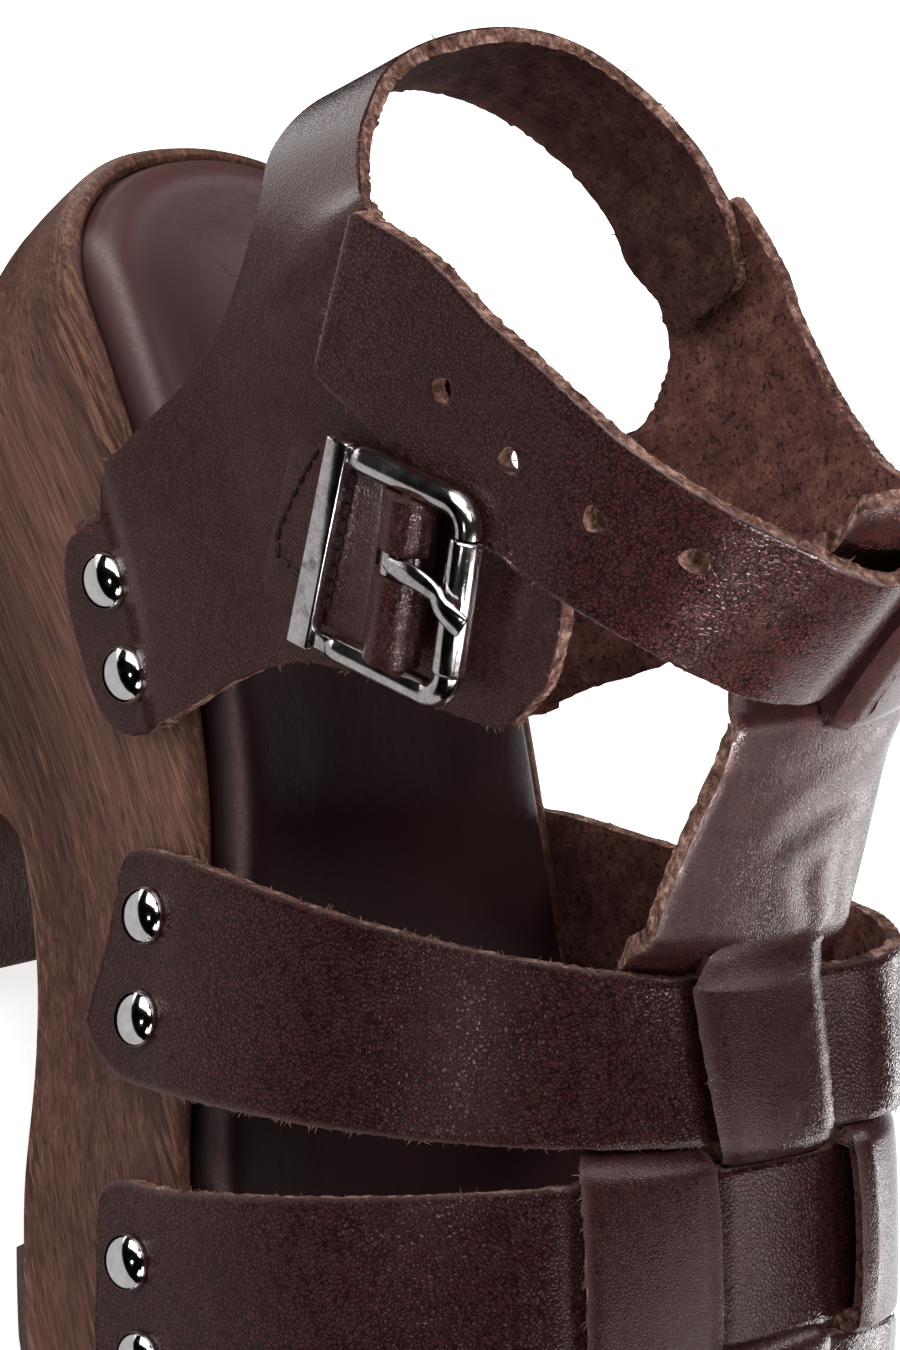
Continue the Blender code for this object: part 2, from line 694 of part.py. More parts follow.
def make_prong(placement):
    """Prong looped on the pivot bar, its flattened tip bent over the roller."""
    eye = prong_eye_radius()
    under = ROLLER_RADIUS + GAP
    over = under + PRONG_THICKNESS
    tip = ROLLER_REACH + PRONG_OVERHANG
    prong = make_tube("buckle_prong", eye, BAR_RADIUS + BAR_CLEARANCE, PRONG_WIDTH / 2)
    outline = [(0.6 * eye, 0.4 * eye), (1.7 * eye, under + 0.2), (ROLLER_REACH + 1.0, under),
               (tip - 1.0, 0.9), (tip, 1.6), (ROLLER_REACH + 1.8, over), (1.5 * eye, over + 0.1),
               (0.15 * eye, 0.94 * eye)]
    pin = prism("prong_pin_tool", outline, 0.43 * PRONG_WIDTH, "metal")
    pin.matrix_world = placement
    combine(prong, pin, "UNION")
    prong.matrix_world = placement


def make_tab(placement):
    """Leather tab folded round the pivot bar, its two layers stitched flat to the quarter."""
    fold = TAB_FOLD_RADIUS
    bottom = GAP - FRAME_STANDOFF
    top = bottom + TAB_THICKNESS
    bend_steps = 12
    outline = [(-TAB_BACK, bottom), (-0.8 * TAB_PINCH, bottom), (-0.9 * fold, -0.94 * fold)]
    for k in range(bend_steps + 1):
        angle = math.pi * (k / bend_steps - 0.5)
        outline.append((fold * math.cos(angle), fold * math.sin(angle)))
    outline += [(-fold, 0.82 * fold), (-0.7 * TAB_PINCH, top + 1.0), (-TAB_PINCH, top), (-TAB_BACK, top)]
    tab = prism("buckle_tab", outline, TAB_WIDTH / 2, "leather")
    hole = prism("tab_hole_tool", circle(BAR_RADIUS + GAP), TAB_WIDTH, "leather")
    low, high = -(prong_eye_radius() + GAP), 2 * fold
    slot_outline = [(-TAB_SLOT_BACK, low), (high, low), (high, high), (-TAB_SLOT_BACK, high)]
    slot = prism("tab_slot_tool", slot_outline, PRONG_WIDTH / 2 + GAP, "leather")
    for tool in (hole, slot):
        tool.matrix_world = placement
        combine(tab, tool, "DIFFERENCE")
    tab.matrix_world = placement


def centre_on_floor():
    """Move every piece so that the whole stands centred over the origin."""
    graph = bpy.context.evaluated_depsgraph_get()
    corners = []
    for piece in bpy.context.scene.objects:
        if piece.hide_render:
            continue
        shown = piece.evaluated_get(graph)
        corners += [shown.matrix_world @ v.co for v in shown.data.vertices]
    low = Vector([min(c[k] for c in corners) for k in range(3)])
    high = Vector([max(c[k] for c in corners) for k in range(3)])
    shift = Vector((-(low.x + high.x) / 2, -(low.y + high.y) / 2, -low.z))
    for piece in bpy.context.scene.objects:
        piece.matrix_world = Matrix.Translation(shift) @ piece.matrix_world


clear_scene()
make_wood_sole()
make_insole()
make_top_lift()
make_outsole()
make_upper()
make_studs()
make_buckle()
bpy.context.view_layer.update()
centre_on_floor()
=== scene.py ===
"""Looks of a block heel clog sandal for the right foot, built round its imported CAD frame.

Shapes are worked out in the shoe's own millimetres: x from the heel to the toe, y from the outer
to the inner side of the foot, z up from the floor.
"""
import math

import bmesh
import bpy
import numpy as np
from mathutils import Matrix, Vector


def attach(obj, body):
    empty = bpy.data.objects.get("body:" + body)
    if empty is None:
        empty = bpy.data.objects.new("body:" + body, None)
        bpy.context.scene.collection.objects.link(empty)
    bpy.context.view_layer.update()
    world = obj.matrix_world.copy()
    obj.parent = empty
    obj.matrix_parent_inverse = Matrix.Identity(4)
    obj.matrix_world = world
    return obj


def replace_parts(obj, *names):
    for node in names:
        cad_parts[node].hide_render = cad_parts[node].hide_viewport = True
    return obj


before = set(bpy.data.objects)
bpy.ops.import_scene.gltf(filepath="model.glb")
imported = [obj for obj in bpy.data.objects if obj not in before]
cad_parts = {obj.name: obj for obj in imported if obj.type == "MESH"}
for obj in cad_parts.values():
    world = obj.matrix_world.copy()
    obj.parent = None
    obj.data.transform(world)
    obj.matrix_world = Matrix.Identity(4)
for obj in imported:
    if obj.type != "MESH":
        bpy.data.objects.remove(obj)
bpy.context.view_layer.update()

# Wooden sole and heel
# One piece of stained wood with its grain along the foot, turned to a rounded rim, hollowed under
# the arch and worn pale along its edges; everything else is nailed or glued to it.
SHOE_MIDDLE = np.array((116.9, 0.4016, 0.0))
MM = 0.001
LATERAL = -1
MEDIAL = 1
SOLE_BACK = -2.2
SOLE_FRONT = 236.0
TOE_TIP_Y = 8.0
HEEL_TIP_Y = -7.0
HEEL_CORNER = {LATERAL: 20.0, MEDIAL: 34.0}
HEEL_CORNER_GROWTH = {LATERAL: 12.0, MEDIAL: 0.0}
HEEL_CORNER_LOSS = 0.6
LEAST_CORNER = 5.0
HEEL_SQUARENESS = {LATERAL: 2.4, MEDIAL: 2.0}
HEEL_BACK_TAPER = 18.0
HEEL_SIDE_TAPER = 3.0
HEEL_TAPER_ENDS = (72.0, 118.0)
HEEL_RIM_SHARE = 0.74
TOE_CORNER = 40.0
TOE_CORNER_LOSS = 0.5
TOE_SQUARENESS = 2.3
TOE_SPRING = 11.0
TOE_SPRING_START = 188.0
WOOD_FLOOR = 4.3
SOLE_ROWS = (
    # x, lateral half-width, medial half-width, rim height
    (-6, 31.0, 29.0, 71.2),
    (12, 31.4, 29.6, 71.1),
    (35, 31.2, 29.8, 70.3),
    (52, 30.8, 29.6, 68.6),
    (69, 30.8, 29.6, 64.8),
    (84, 31.8, 30.4, 60.2),
    (100, 34.4, 32.6, 53.4),
    (116, 37.8, 35.6, 45.9),
    (130, 39.4, 38.2, 40.4),
    (146, 40.0, 40.0, 35.8),
    (165, 40.2, 40.8, 32.2),
    (190, 38.6, 40.4, 30.6),
    (212, 34.5, 38.0, 32.4),
    (236, 28.0, 33.0, 38.0),
)
WOOD_LEVELS = (
    # inset, share of the height, drop below that, heel taper, heel corner
    (1.4, 0.0, 0.0, 1.0, 1.0),
    (0.4, 0.016, 0.0, 0.98, 1.0),
    (0.0, 0.06, 0.0, 0.93, 1.0),
    (0.0, 0.35, 0.0, 0.58, 1.0),
    (0.0, 0.6, 0.0, 0.28, 0.92),
    (0.0, 0.74, 0.0, 0.11, 0.8),
    (0.0, 1.0, 4.8, 0.0, 0.6),
    (0.5, 1.0, 2.2, 0.0, 0.45),
    (1.3, 1.0, 0.7, 0.0, 0.25),
    (2.3, 1.0, 0.0, 0.0, 0.1),
    (3.2, 1.0, 0.3, 0.0, 0.0),
    (3.8, 1.0, 1.1, 0.0, 0.0),
    (3.8, 1.0, 2.6, 0.0, 0.0),
)
ARCH_ROWS = (
    # x, z, from the foot of the heel's front face up to the top of the arch
    (86.0, 4.0), (79.0, 7.6), (73.0, 12.4), (69.2, 17.8), (68.6, 22.0), (72.0, 24.8),
    # and from there forward and down to the ball
    (75.6, 25.1), (89.0, 22.9), (97.0, 20.9), (106.0, 17.8), (116.0, 13.6), (122.0, 11.2),
    (128.0, 8.8), (132.5, 7.0), (141.0, 4.9), (153.0, 3.7),
)
ARCH_TOP_ROW = 5
ARCH_TOOL_HALF = 60.0
ARCH_TOOL_FOOT = -5.0
RIM_WEAR_AT = 2.0
RIM_WEAR = 2.6
FLOOR_WEAR = 1.6


def smooth_through(xs, values):
    """Cubic curve through the values at xs, held level beyond both ends; works on arrays."""
    xs = np.asarray(xs, float)
    values = np.asarray(values, float)
    slopes = np.gradient(values, xs)

    def at(x):
        x = np.clip(np.asarray(x, float), xs[0], xs[-1])
        i = np.minimum(np.searchsorted(xs, x, side="right") - 1, len(xs) - 2)
        span = xs[i + 1] - xs[i]
        t = (x - xs[i]) / span
        low = values[i] * (1 + 2 * t) * (1 - t) ** 2 + slopes[i] * span * t * (1 - t) ** 2
        high = values[i + 1] * t * t * (3 - 2 * t) - slopes[i + 1] * span * t * t * (1 - t)
        return low + high

    return at


def hump(distance, width):
    """1 at no distance, falling off smoothly over a width to either side."""
    return np.exp(-(distance / width) ** 2)


def ease(t):
    t = np.clip(t, 0.0, 1.0)
    return t * t * (3 - 2 * t)


def between(rows, counts):
    """Rows of numbers with counts[i] - 1 smooth rows added after row i."""
    rows = np.asarray(rows, float)
    stations = np.concatenate(([0.0], np.cumsum(np.asarray(counts, float))))
    fine = np.arange(stations[-1] + 1)
    return np.stack([smooth_through(stations, column)(fine) for column in rows.T], axis=1)


sole_x, *sole_columns = np.array(SOLE_ROWS).T
lateral_width, medial_width, rim_height = (smooth_through(sole_x, column) for column in sole_columns)
sole_width = {LATERAL: lateral_width, MEDIAL: medial_width}


def wood_bottom(x):
    run = np.maximum(x - TOE_SPRING_START, 0.0) / (SOLE_FRONT - TOE_SPRING_START)
    return WOOD_FLOOR + TOE_SPRING * run * run


def end_factor(run, corner, squareness):
    """Share of the full width at a distance from a rounded end."""
    away = np.clip(1 - np.maximum(run, 0.0) / corner, 0.0, 1.0)
    return np.maximum(1 - away ** squareness, 0.0) ** (1 / squareness)


def sole_ring(inset, height, taper=0.0, rounding=0.0, start=None, end=None, steps=150):
    """Lateral and medial points of one level of the sole, from back to front."""
    back = SOLE_BACK + HEEL_RIM_SHARE * inset + HEEL_BACK_TAPER * taper
    first = back if start is None else start
    last = SOLE_FRONT - inset if end is None else end
    x = first + (last - first) * (1 - np.cos(np.pi * np.arange(steps + 1) / steps)) / 2
    fade = 1 - ease((x - HEEL_TAPER_ENDS[0]) / (HEEL_TAPER_ENDS[1] - HEEL_TAPER_ENDS[0]))
    drawn_in = inset + HEEL_SIDE_TAPER * taper * fade
    ring = {}
    for side in (LATERAL, MEDIAL):
        corner = np.maximum(HEEL_CORNER[side] - HEEL_CORNER_LOSS * drawn_in, LEAST_CORNER)
        corner = corner + HEEL_CORNER_GROWTH[side] * rounding
        heel = end_factor(x - back, corner, HEEL_SQUARENESS[side])
        toe_corner = TOE_CORNER - TOE_CORNER_LOSS * drawn_in
        toe = end_factor(SOLE_FRONT - drawn_in - x, toe_corner, TOE_SQUARENESS)
        centre = TOE_TIP_Y * ease((x - SOLE_FRONT + 2 * TOE_CORNER) / (2 * TOE_CORNER))
        centre = centre + HEEL_TIP_Y * ease(1 - (x - back) / HEEL_CORNER[MEDIAL])
        full = side * np.maximum(sole_width[side](x) - drawn_in, 1.0)
        y = centre + (full - centre) * heel * toe
        ring[side] = np.stack([x, y, height(x)], axis=1)
    return ring


def to_part(points):
    """Shoe millimetres to metres in the CAD's frame."""
    return (np.asarray(points, float) - SHOE_MIDDLE) * MM


def new_piece(name, points, faces, finishes, finish_of_face=None, tidy=False):
    """A mesh object at the origin from points in shoe millimetres."""
    mesh = bpy.data.meshes.new(name)
    mesh.from_pydata(to_part(points).tolist(), [], faces)
    for finish in finishes:
        mesh.materials.append(finish)
    if finish_of_face is not None:
        mesh.polygons.foreach_set("material_index", np.asarray(finish_of_face, np.int32))
    if tidy:
        bm = bmesh.new()
        bm.from_mesh(mesh)
        bmesh.ops.remove_doubles(bm, verts=bm.verts, dist=1e-6)
        bmesh.ops.dissolve_degenerate(bm, edges=bm.edges, dist=1e-7)
        bmesh.ops.recalc_face_normals(bm, faces=bm.faces)
        bm.to_mesh(mesh)
        bm.free()
    mesh.shade_smooth()
    piece = bpy.data.objects.new(name, mesh)
    bpy.context.scene.collection.objects.link(piece)
    return piece


def ring_faces(rings, count, closed=False):
    """Quads between rings of count points each, and from the last ring to the first if closed."""
    faces = []
    for ring in range(rings if closed else rings - 1):
        low, high = ring * count, (ring + 1) % rings * count
        for k in range(count):
            n = (k + 1) % count
            faces.append((low + k, low + n, high + n, high + k))
    return faces


def prism(low, high):
    """Points and faces of a closed piece between two like rings of points."""
    count = len(low)
    faces = [tuple(range(count)), tuple(range(2 * count - 1, count - 1, -1))]
    for i in range(count):
        j = (i + 1) % count
        faces.append((i, count + i, count + j, j))
    return [*low, *high], faces


def loft(name, rings, finish):
    """Closed piece through sole rings from the bottom up, with laddered caps."""
    count = len(rings[0][LATERAL])
    loop = 2 * count
    points = np.concatenate([part for ring in rings for part in (ring[LATERAL], ring[MEDIAL][::-1])])
    faces = ring_faces(len(rings), loop)
    for low in (0, (len(rings) - 1) * loop):
        for i in range(count - 1):
            faces.append((low + i, low + i + 1, low + loop - 2 - i, low + loop - 1 - i))
    return new_piece(name, points, faces, [finish], tidy=True)


def crease(piece, degrees):
    """Keep edges sharp where the faces meet at more than an angle."""
    piece.data.set_sharp_from_angle(angle=math.radians(degrees))


def plain_mesh(piece):
    """Replace a piece's mesh by its finished one and drop the modifiers that made it."""
    graph = bpy.context.evaluated_depsgraph_get()
    made = bpy.data.meshes.new_from_object(piece.evaluated_get(graph))
    piece.modifiers.clear()
    piece.data = made


def cut_away(piece, tool):
    """Take a tool's volume out of a piece and drop the tool."""
    cut = piece.modifiers.new("cut", "BOOLEAN")
    cut.operation = "DIFFERENCE"
    cut.solver = "EXACT"
    cut.object = tool
    plain_mesh(piece)
    bpy.data.objects.remove(tool)


def shoe_points(piece):
    """Vertices of a piece in shoe millimetres."""
    return np.array([vertex.co for vertex in piece.data.vertices]) / MM + SHOE_MIDDLE


def mark_points(piece, name, values):
    """Write a number at each vertex, for a finish or a node tree to read."""
    mark = piece.data.attributes.new(name, "FLOAT", "POINT")
    mark.data.foreach_set("value", np.asarray(values, np.float32))


class Amount:
    """A shader socket that sums can be written with as Python expressions."""

    def __init__(self, finish, socket):
        self.finish = finish
        self.socket = socket

    def sum(self, operation, first, second):
        return self.finish.node("Math", {"operation": operation}, {0: first, 1: second})

    def __add__(self, other):
        return self.sum("ADD", self, other)

    def __sub__(self, other):
        return self.sum("SUBTRACT", self, other)

    def __mul__(self, other):
        return self.sum("MULTIPLY", self, other)


class Finish:
    """A Principled material being built, patterned by places in the shoe's own space."""

    def __init__(self, name, constants):
        self.material = bpy.data.materials.new(name)
        self.material.use_nodes = True
        self.tree = self.material.node_tree
        self.shader = self.tree.nodes["Principled BSDF"]
        for socket, value in constants.items():
            self.shader.inputs[socket].default_value = value
        self.spot = self.node("TexCoord", {}, {}, "Object")

    def node(self, kind, settings, sockets, out=0):
        made = self.tree.nodes.new("ShaderNode" + kind)
        for key, value in settings.items():
            if key == "stops":
                elements = made.color_ramp.elements
                elements[0].position, elements[0].color = value[0]
                elements[1].position, elements[1].color = value[-1]
                for position, colour in value[1:-1]:
                    elements.new(position).color = colour
            else:
                setattr(made, key, value)
        for key, value in sockets.items():
            self.feed(made.inputs[key], value)
        return Amount(self, made.outputs[out])

    def feed(self, socket, value):
        if isinstance(value, Amount):
            self.tree.links.new(value.socket, socket)
        else:
            socket.default_value = value

    def wear(self, **sockets):
        """Feed the shader's own sockets, named in lower case with underscores."""
        for name, value in sockets.items():
            self.feed(self.shader.inputs[name.replace("_", " ").title()], value)

    def blend(self, first, second, amount):
        return self.node("Mix", {"data_type": "RGBA"}, {0: amount, 6: first, 7: second}, 2)

    def ramp(self, amount, *stops):
        return self.node("ValToRGB", {"stops": stops}, {0: amount})

    def clear_range(self, amount, low, high):
        """0 below low, 1 above high and smooth between."""
        limits = {"Value": amount, "From Min": low, "From Max": high}
        return self.node("MapRange", {"interpolation_type": "SMOOTHSTEP"}, limits)

    def axes(self):
        return [self.node("SeparateXYZ", {}, {0: self.spot}, axis) for axis in "XYZ"]

    def vector(self, x, y, z):
        return self.node("CombineXYZ", {}, {0: x, 1: y, 2: z})

    def mark(self, name):
        return self.node("Attribute", {"attribute_name": name}, {}, "Fac")

    def noise(self, scale, detail=2.0, rough=0.55, at=None):
        """Noise of so many features per metre, or at a place worked out elsewhere."""
        place = self.spot if at is None else at
        sockets = {"Vector": place, "Scale": scale, "Detail": detail, "Roughness": rough}
        return self.node("TexNoise", {}, sockets)

    def bump(self, height, distance, strength, under=None):
        sockets = {"Height": height, "Distance": distance, "Strength": strength}
        if under is not None:
            sockets["Normal"] = under
        return self.node("Bump", {}, sockets)


def rgb(red, green, blue):
    return (red, green, blue, 1.0)


stained_wood = Finish("stained_wood", {"Specular IOR Level": 0.16})
wood_x, wood_y, wood_z = stained_wood.axes()
# The grain follows the sole: it climbs a little over the heel and sinks towards the ball.
grain_z = wood_z + wood_x * 0.083 + wood_x * wood_x * 1.17


def wood_fibres(along, across, detail):
    """Noise drawn out along the grain; the numbers are features per metre."""
    drawn_out = stained_wood.vector(wood_x * along, wood_y * across, grain_z * across)
    return stained_wood.noise(1.0, detail, 0.62, drawn_out)


wood_figure = wood_fibres(7.0, 75.0, 3.0)
wood_streaks = wood_fibres(62.0, 1250.0, 3.0)
wood_strands = wood_fibres(150.0, 3400.0, 2.0)
wood_pores = stained_wood.clear_range(wood_fibres(110.0, 2600.0, 1.0), 0.6, 0.74)
wood_tone = wood_figure * 0.4 + wood_streaks * 0.26 + wood_strands * 0.34
wood_colour = stained_wood.ramp(
    wood_tone,
    (0.36, rgb(0.03, 0.0112, 0.0081)),
    (0.46, rgb(0.067, 0.0272, 0.0198)),
    (0.55, rgb(0.108, 0.047, 0.0338)),
    (0.68, rgb(0.19, 0.092, 0.06)),
)
wood_colour = stained_wood.blend(wood_colour, rgb(0.028, 0.012, 0.009), wood_pores * 0.7)
wood_fibre = wood_streaks * 0.6 + wood_strands * 0.4
wood_chafe = stained_wood.clear_range(wood_fibre + stained_wood.mark("worn") * 0.16, 0.6, 0.78)
wood_colour = stained_wood.blend(wood_colour, rgb(0.33, 0.178, 0.108), wood_chafe * 0.32)
stained_wood.wear(
    base_color=wood_colour,
    roughness=wood_streaks * 0.3 + 0.34,
    normal=stained_wood.bump(wood_fibre - wood_pores * 0.3, 0.0003, 0.5),
)

wood_rings = []
for inset, share, drop, taper, rounding in between(WOOD_LEVELS, [3] * (len(WOOD_LEVELS) - 1)):
    def level_height(x, share=share, drop=drop):
        return wood_bottom(x) + share * (rim_height(x) - wood_bottom(x)) - drop

    wood_rings.append(sole_ring(inset, level_height, taper, rounding))
wood = loft("wood_sole_block", wood_rings, stained_wood.material)

arch_line = between(ARCH_ROWS, [6] * (len(ARCH_ROWS) - 1))
arch_line = [(arch_line[0, 0], ARCH_TOOL_FOOT), *arch_line, (arch_line[-1, 0], ARCH_TOOL_FOOT)]
arch_sides = [[(x, y, z) for x, z in arch_line] for y in (-ARCH_TOOL_HALF, ARCH_TOOL_HALF)]
cut_away(wood, new_piece("arch_tool", *prism(*arch_sides), [stained_wood.material], tidy=True))
crease(wood, 45)

arch_front = np.array(ARCH_ROWS[ARCH_TOP_ROW:])


def wood_underside(x):
    """Height of the wood's underside ahead of the heel."""
    return np.maximum(np.interp(x, arch_front[:, 0], arch_front[:, 1]), wood_bottom(x))


edge_x, _, edge_z = shoe_points(wood).T
on_rim = hump(rim_height(edge_x) - edge_z - RIM_WEAR_AT, RIM_WEAR)
underside = np.where(edge_x > arch_front[0, 0], wood_underside(edge_x), WOOD_FLOOR)
near_floor = hump(edge_z - underside, FLOOR_WEAR)
mark_points(wood, "worn", np.maximum(on_rim, near_floor))
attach(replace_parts(wood, "wood_sole"), "shoe")

# Rubber outsole and top lift
# Thin brown rubber glued under the ball of the foot and under the heel, its lower edge taken off.
LIFT_FRONT = 85.0
LIFT_LEVELS = (
    # inset, height
    (1.9, 0.0), (1.5, 0.25), (1.4, 0.7), (1.4, 3.4), (1.6, 4.0),
)
OUTSOLE_BACK = 122.0
OUTSOLE_LEVELS = (
    # inset, drop below the wood
    (2.2, 4.3), (1.8, 4.05), (1.7, 3.6), (1.7, 0.3),
)
TREAD_STEPS = 110


def mottled(name, constants, grain, dark, light, rough, relief=None):
    """Material mottled between two colours by one noise; rough is what the noise adds, then the least."""
    finish = Finish(name, constants)
    tone = finish.noise(*grain)
    finish.wear(base_color=finish.ramp(tone, dark, light), roughness=tone * rough[0] + rough[1])
    if relief is not None:
        finish.wear(normal=finish.bump(tone, *relief))
    return finish.material


sole_rubber = mottled(
    "sole_rubber", {"Specular IOR Level": 0.3}, (1600.0, 3.0),
    (0.3, rgb(0.05, 0.03, 0.025)), (0.7, rgb(0.085, 0.055, 0.047)), (0.3, 0.55), (0.0002, 0.4))


def lift_level(z):
    return lambda x: np.full_like(x, z)


def outsole_level(drop):
    """Underside of the wood ahead of the arch, lowered by a drop but never under the floor."""
    return lambda x: np.maximum(wood_underside(x) - drop, WOOD_FLOOR - drop)


lift_rings = [sole_ring(inset, lift_level(z), 1.0, 1.0, end=LIFT_FRONT, steps=TREAD_STEPS)
              for inset, z in LIFT_LEVELS]
outsole_rings = [sole_ring(inset, outsole_level(drop), start=OUTSOLE_BACK, steps=TREAD_STEPS)
                 for inset, drop in OUTSOLE_LEVELS]
for name, rings, node in (
    ("heel_lift_rubber", lift_rings, "heel_top_lift"),
    ("outsole_rubber", outsole_rings, "outsole_forefoot"),
):
    tread = loft(name, rings, sole_rubber)
    crease(tread, 40)
    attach(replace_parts(tread, node), "shoe")

# Insole
# Padded sock of smooth dark leather, its edge rolled down into the groove of the wood and glued,
# with fine creases along the foot; its heel is painted paler as lit and its front darker as in the upper's
# shade, and a painted highlight runs along the outer edge.
GROOVE_INSET = 3.8
SOCK_INSET = GROOVE_INSET + 0.3
INSOLE_LEVELS = (
    # inset from the edge of the bed, rise above the rim
    (0.3, -2.3), (0.0, -1.0), (0.3, 0.8), (1.3, 2.4), (3.0, 3.3),
    (5.5, 3.6), (10.0, 3.1), (16.0, 2.4), (22.0, 2.2),
)
# Painted highlight along the insole's rolled outer edge: where it lies and how wide.
EDGE_SHEEN_AT = 1.9
EDGE_SHEEN_WIDTH = 0.9
# Pale colour that paints sheen: highlights on the insole's edge, the quarter's bend and the cut edges'
# arrises.
PAINTED_SHEEN_PALE = rgb(0.2, 0.14, 0.135)
sock_leather = Finish("sock_leather", {"Specular IOR Level": 0.17})
sock_x, sock_y, sock_z = sock_leather.axes()
sock_cloud = sock_leather.noise(28.0, 3.0)
sock_along = sock_leather.vector(sock_x * 26.0, sock_y * 300.0, sock_z * 40.0)
sock_lines = sock_leather.noise(1.0, 3.0, at=sock_along)
sock_grain = sock_leather.noise(1900.0, 2.0)
sock_creases = sock_leather.noise(520.0, 2.0)
sock_colour = sock_leather.ramp(
    sock_cloud, (0.3, rgb(0.016, 0.0056, 0.0066)), (0.7, rgb(0.029, 0.0103, 0.0115)))
# Painted light: the heel is painted paler, as lit from above, and the rest keeps the darker colour of the
# upper's shade.
sock_lit_heel = sock_leather.clear_range(sock_x * -1.0, 0.045, 0.1)
sock_colour = sock_leather.blend(sock_colour, rgb(0.085, 0.038, 0.038), sock_lit_heel * (sock_cloud * 0.4 + 0.6))
sock_painted_sheen = sock_leather.mark("rubbed") * (sock_grain * 0.8 + 0.25)
sock_relief = sock_leather.bump(sock_creases, 0.0003, 0.35, sock_leather.bump(sock_lines, 0.0003, 0.25))
sock_leather.wear(
    base_color=sock_leather.blend(sock_colour, PAINTED_SHEEN_PALE, sock_painted_sheen),
    roughness=sock_cloud * 0.16 + sock_grain * 0.1 + 0.3,
    normal=sock_leather.bump(sock_grain, 0.00006, 0.35, sock_relief),
)
sock_rings = []
for inset, rise in between(INSOLE_LEVELS, [4] * (len(INSOLE_LEVELS) - 1)):
    def sock_height(x, rise=rise):
        return rim_height(x) + rise

    sock_rings.append(sole_ring(SOCK_INSET + inset, sock_height))
sock = loft("insole_sock", sock_rings, sock_leather.material)
# Mark the painted highlight along the outer edge.
edge_x, edge_y, _ = shoe_points(sock).T
from_edge = sole_width[LATERAL](edge_x) - SOCK_INSET - LATERAL * edge_y
mark_points(sock, "rubbed", hump(from_edge - EDGE_SHEEN_AT, EDGE_SHEEN_WIDTH))
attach(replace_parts(sock, "insole"), "shoe")

# Quarter with the heel sling, and inner quarter with the ankle strap
# Two pieces of thick dark brown leather, cut raw: the outer quarter runs on as the sling round the
# heel and laps inside the inner quarter, which runs on as the strap through the T-strap.
LEATHER = 2.2
EDGE_HALVES = (0.38, 0.48)
FRAY = 0.05
TEAR = 0.07


def leather_finish(name, grain_size, gloss, relief, hollow_shade):
    """Grain side of the upper, pebbled: relief is how high; the last argument sets how dark the shade painted
    into the hollows between the pebbles is.
    """
    finish = Finish(name, {"Specular IOR Level": 0.34, "Specular Tint": rgb(1.0, 0.82, 0.8)})
    wander = finish.noise(420.0, 2.0)
    stray = finish.vector(wander * 0.0011, wander * 0.0007, wander * 0.0009)
    warped = finish.node("VectorMath", {"operation": "ADD"}, {0: finish.spot, 1: stray})
    cells = finish.node("TexVoronoi", {"feature": "DISTANCE_TO_EDGE"}, {
        "Vector": warped, "Scale": 1 / grain_size, "Randomness": 1.0})
    pebbles = finish.clear_range(cells, 0.0, 0.32)
    fine = finish.noise(3800.0, 3.0, 0.65)
    tooth = finish.noise(2400.0, 1.0)
    cloud = finish.noise(34.0, 4.0, 0.6)
    blotch = finish.noise(230.0, 4.0, 0.65)
    waves = finish.noise(150.0, 3.0, 0.5)
    colour = finish.ramp(
        cloud * 0.42 + blotch * 0.36 + fine * 0.22,
        (0.36, rgb(0.0315, 0.0089, 0.0086)),
        (0.5, rgb(0.0436, 0.0131, 0.0127)),
        (0.64, rgb(0.057, 0.0183, 0.0174)),
    )
    # Painted shade: the hollows between the pebbles are darkened in the colour.
    colour = finish.blend(rgb(0.005, 0.0016, 0.0016), colour, pebbles * hollow_shade + (1.08 - hollow_shade * 0.8))
    # Painted highlight: where a piece is marked for sheen, the colour is paled.
    rubbed = finish.mark("rubbed")
    pebbled = finish.bump(pebbles, 0.00006, 0.45 * relief, finish.bump(waves, 0.0004, 0.14))
    finish.wear(
        base_color=finish.blend(colour, PAINTED_SHEEN_PALE, rubbed * rubbed),
        roughness=blotch * 0.16 + fine * 0.16 - pebbles * 0.08 + gloss,
        normal=finish.bump(tooth, 0.00004, 0.4 * relief, pebbled),
    )
    return finish


upper_leather = leather_finish("brown_leather", 0.0005, 0.1, 1.0, 1.0)
# Coarser pebbles with darker painted shade in the hollows, for the straps.
shaded_hollows_leather = leather_finish("shaded_hollows_leather", 0.00058, 0.1, 1.0, 1.2)


def flesh_finish(name, light):
    """Napped back of the leather, mottled with dark specks; the light scales its colours, painting it as more
    lit or more shaded.
    """
    finish = Finish(name, {"Specular IOR Level": 0.12})
    nap = finish.noise(2200.0, 4.0, 0.7)
    cloud = finish.noise(260.0, 5.0, 0.7)
    specks = finish.clear_range(finish.noise(1150.0, 4.0, 0.65), 0.52, 0.66)
    colour = finish.ramp(
        cloud * 0.6 + nap * 0.4,
        (0.36, rgb(0.045 * light, 0.0165 * light, 0.0138 * light)),
        (0.5, rgb(0.1 * light, 0.039 * light, 0.032 * light)),
        (0.64, rgb(0.19 * light, 0.085 * light, 0.069 * light)),
    )
    finish.wear(
        base_color=finish.blend(colour, rgb(0.012, 0.006, 0.006), specks * 0.85),
        roughness=nap * 0.2 + 0.8,
        normal=finish.bump(nap, 0.0003, 0.6),
    )
    return finish


# One flesh side in two copies: painted lighter where it is lit, and painted darker as shaded for the sling's
# inside and the buckle tab's sides.
lit_flesh_side = flesh_finish("lit_flesh_side", 1.1)
shaded_flesh_side = flesh_finish("shaded_flesh_side", 0.6)

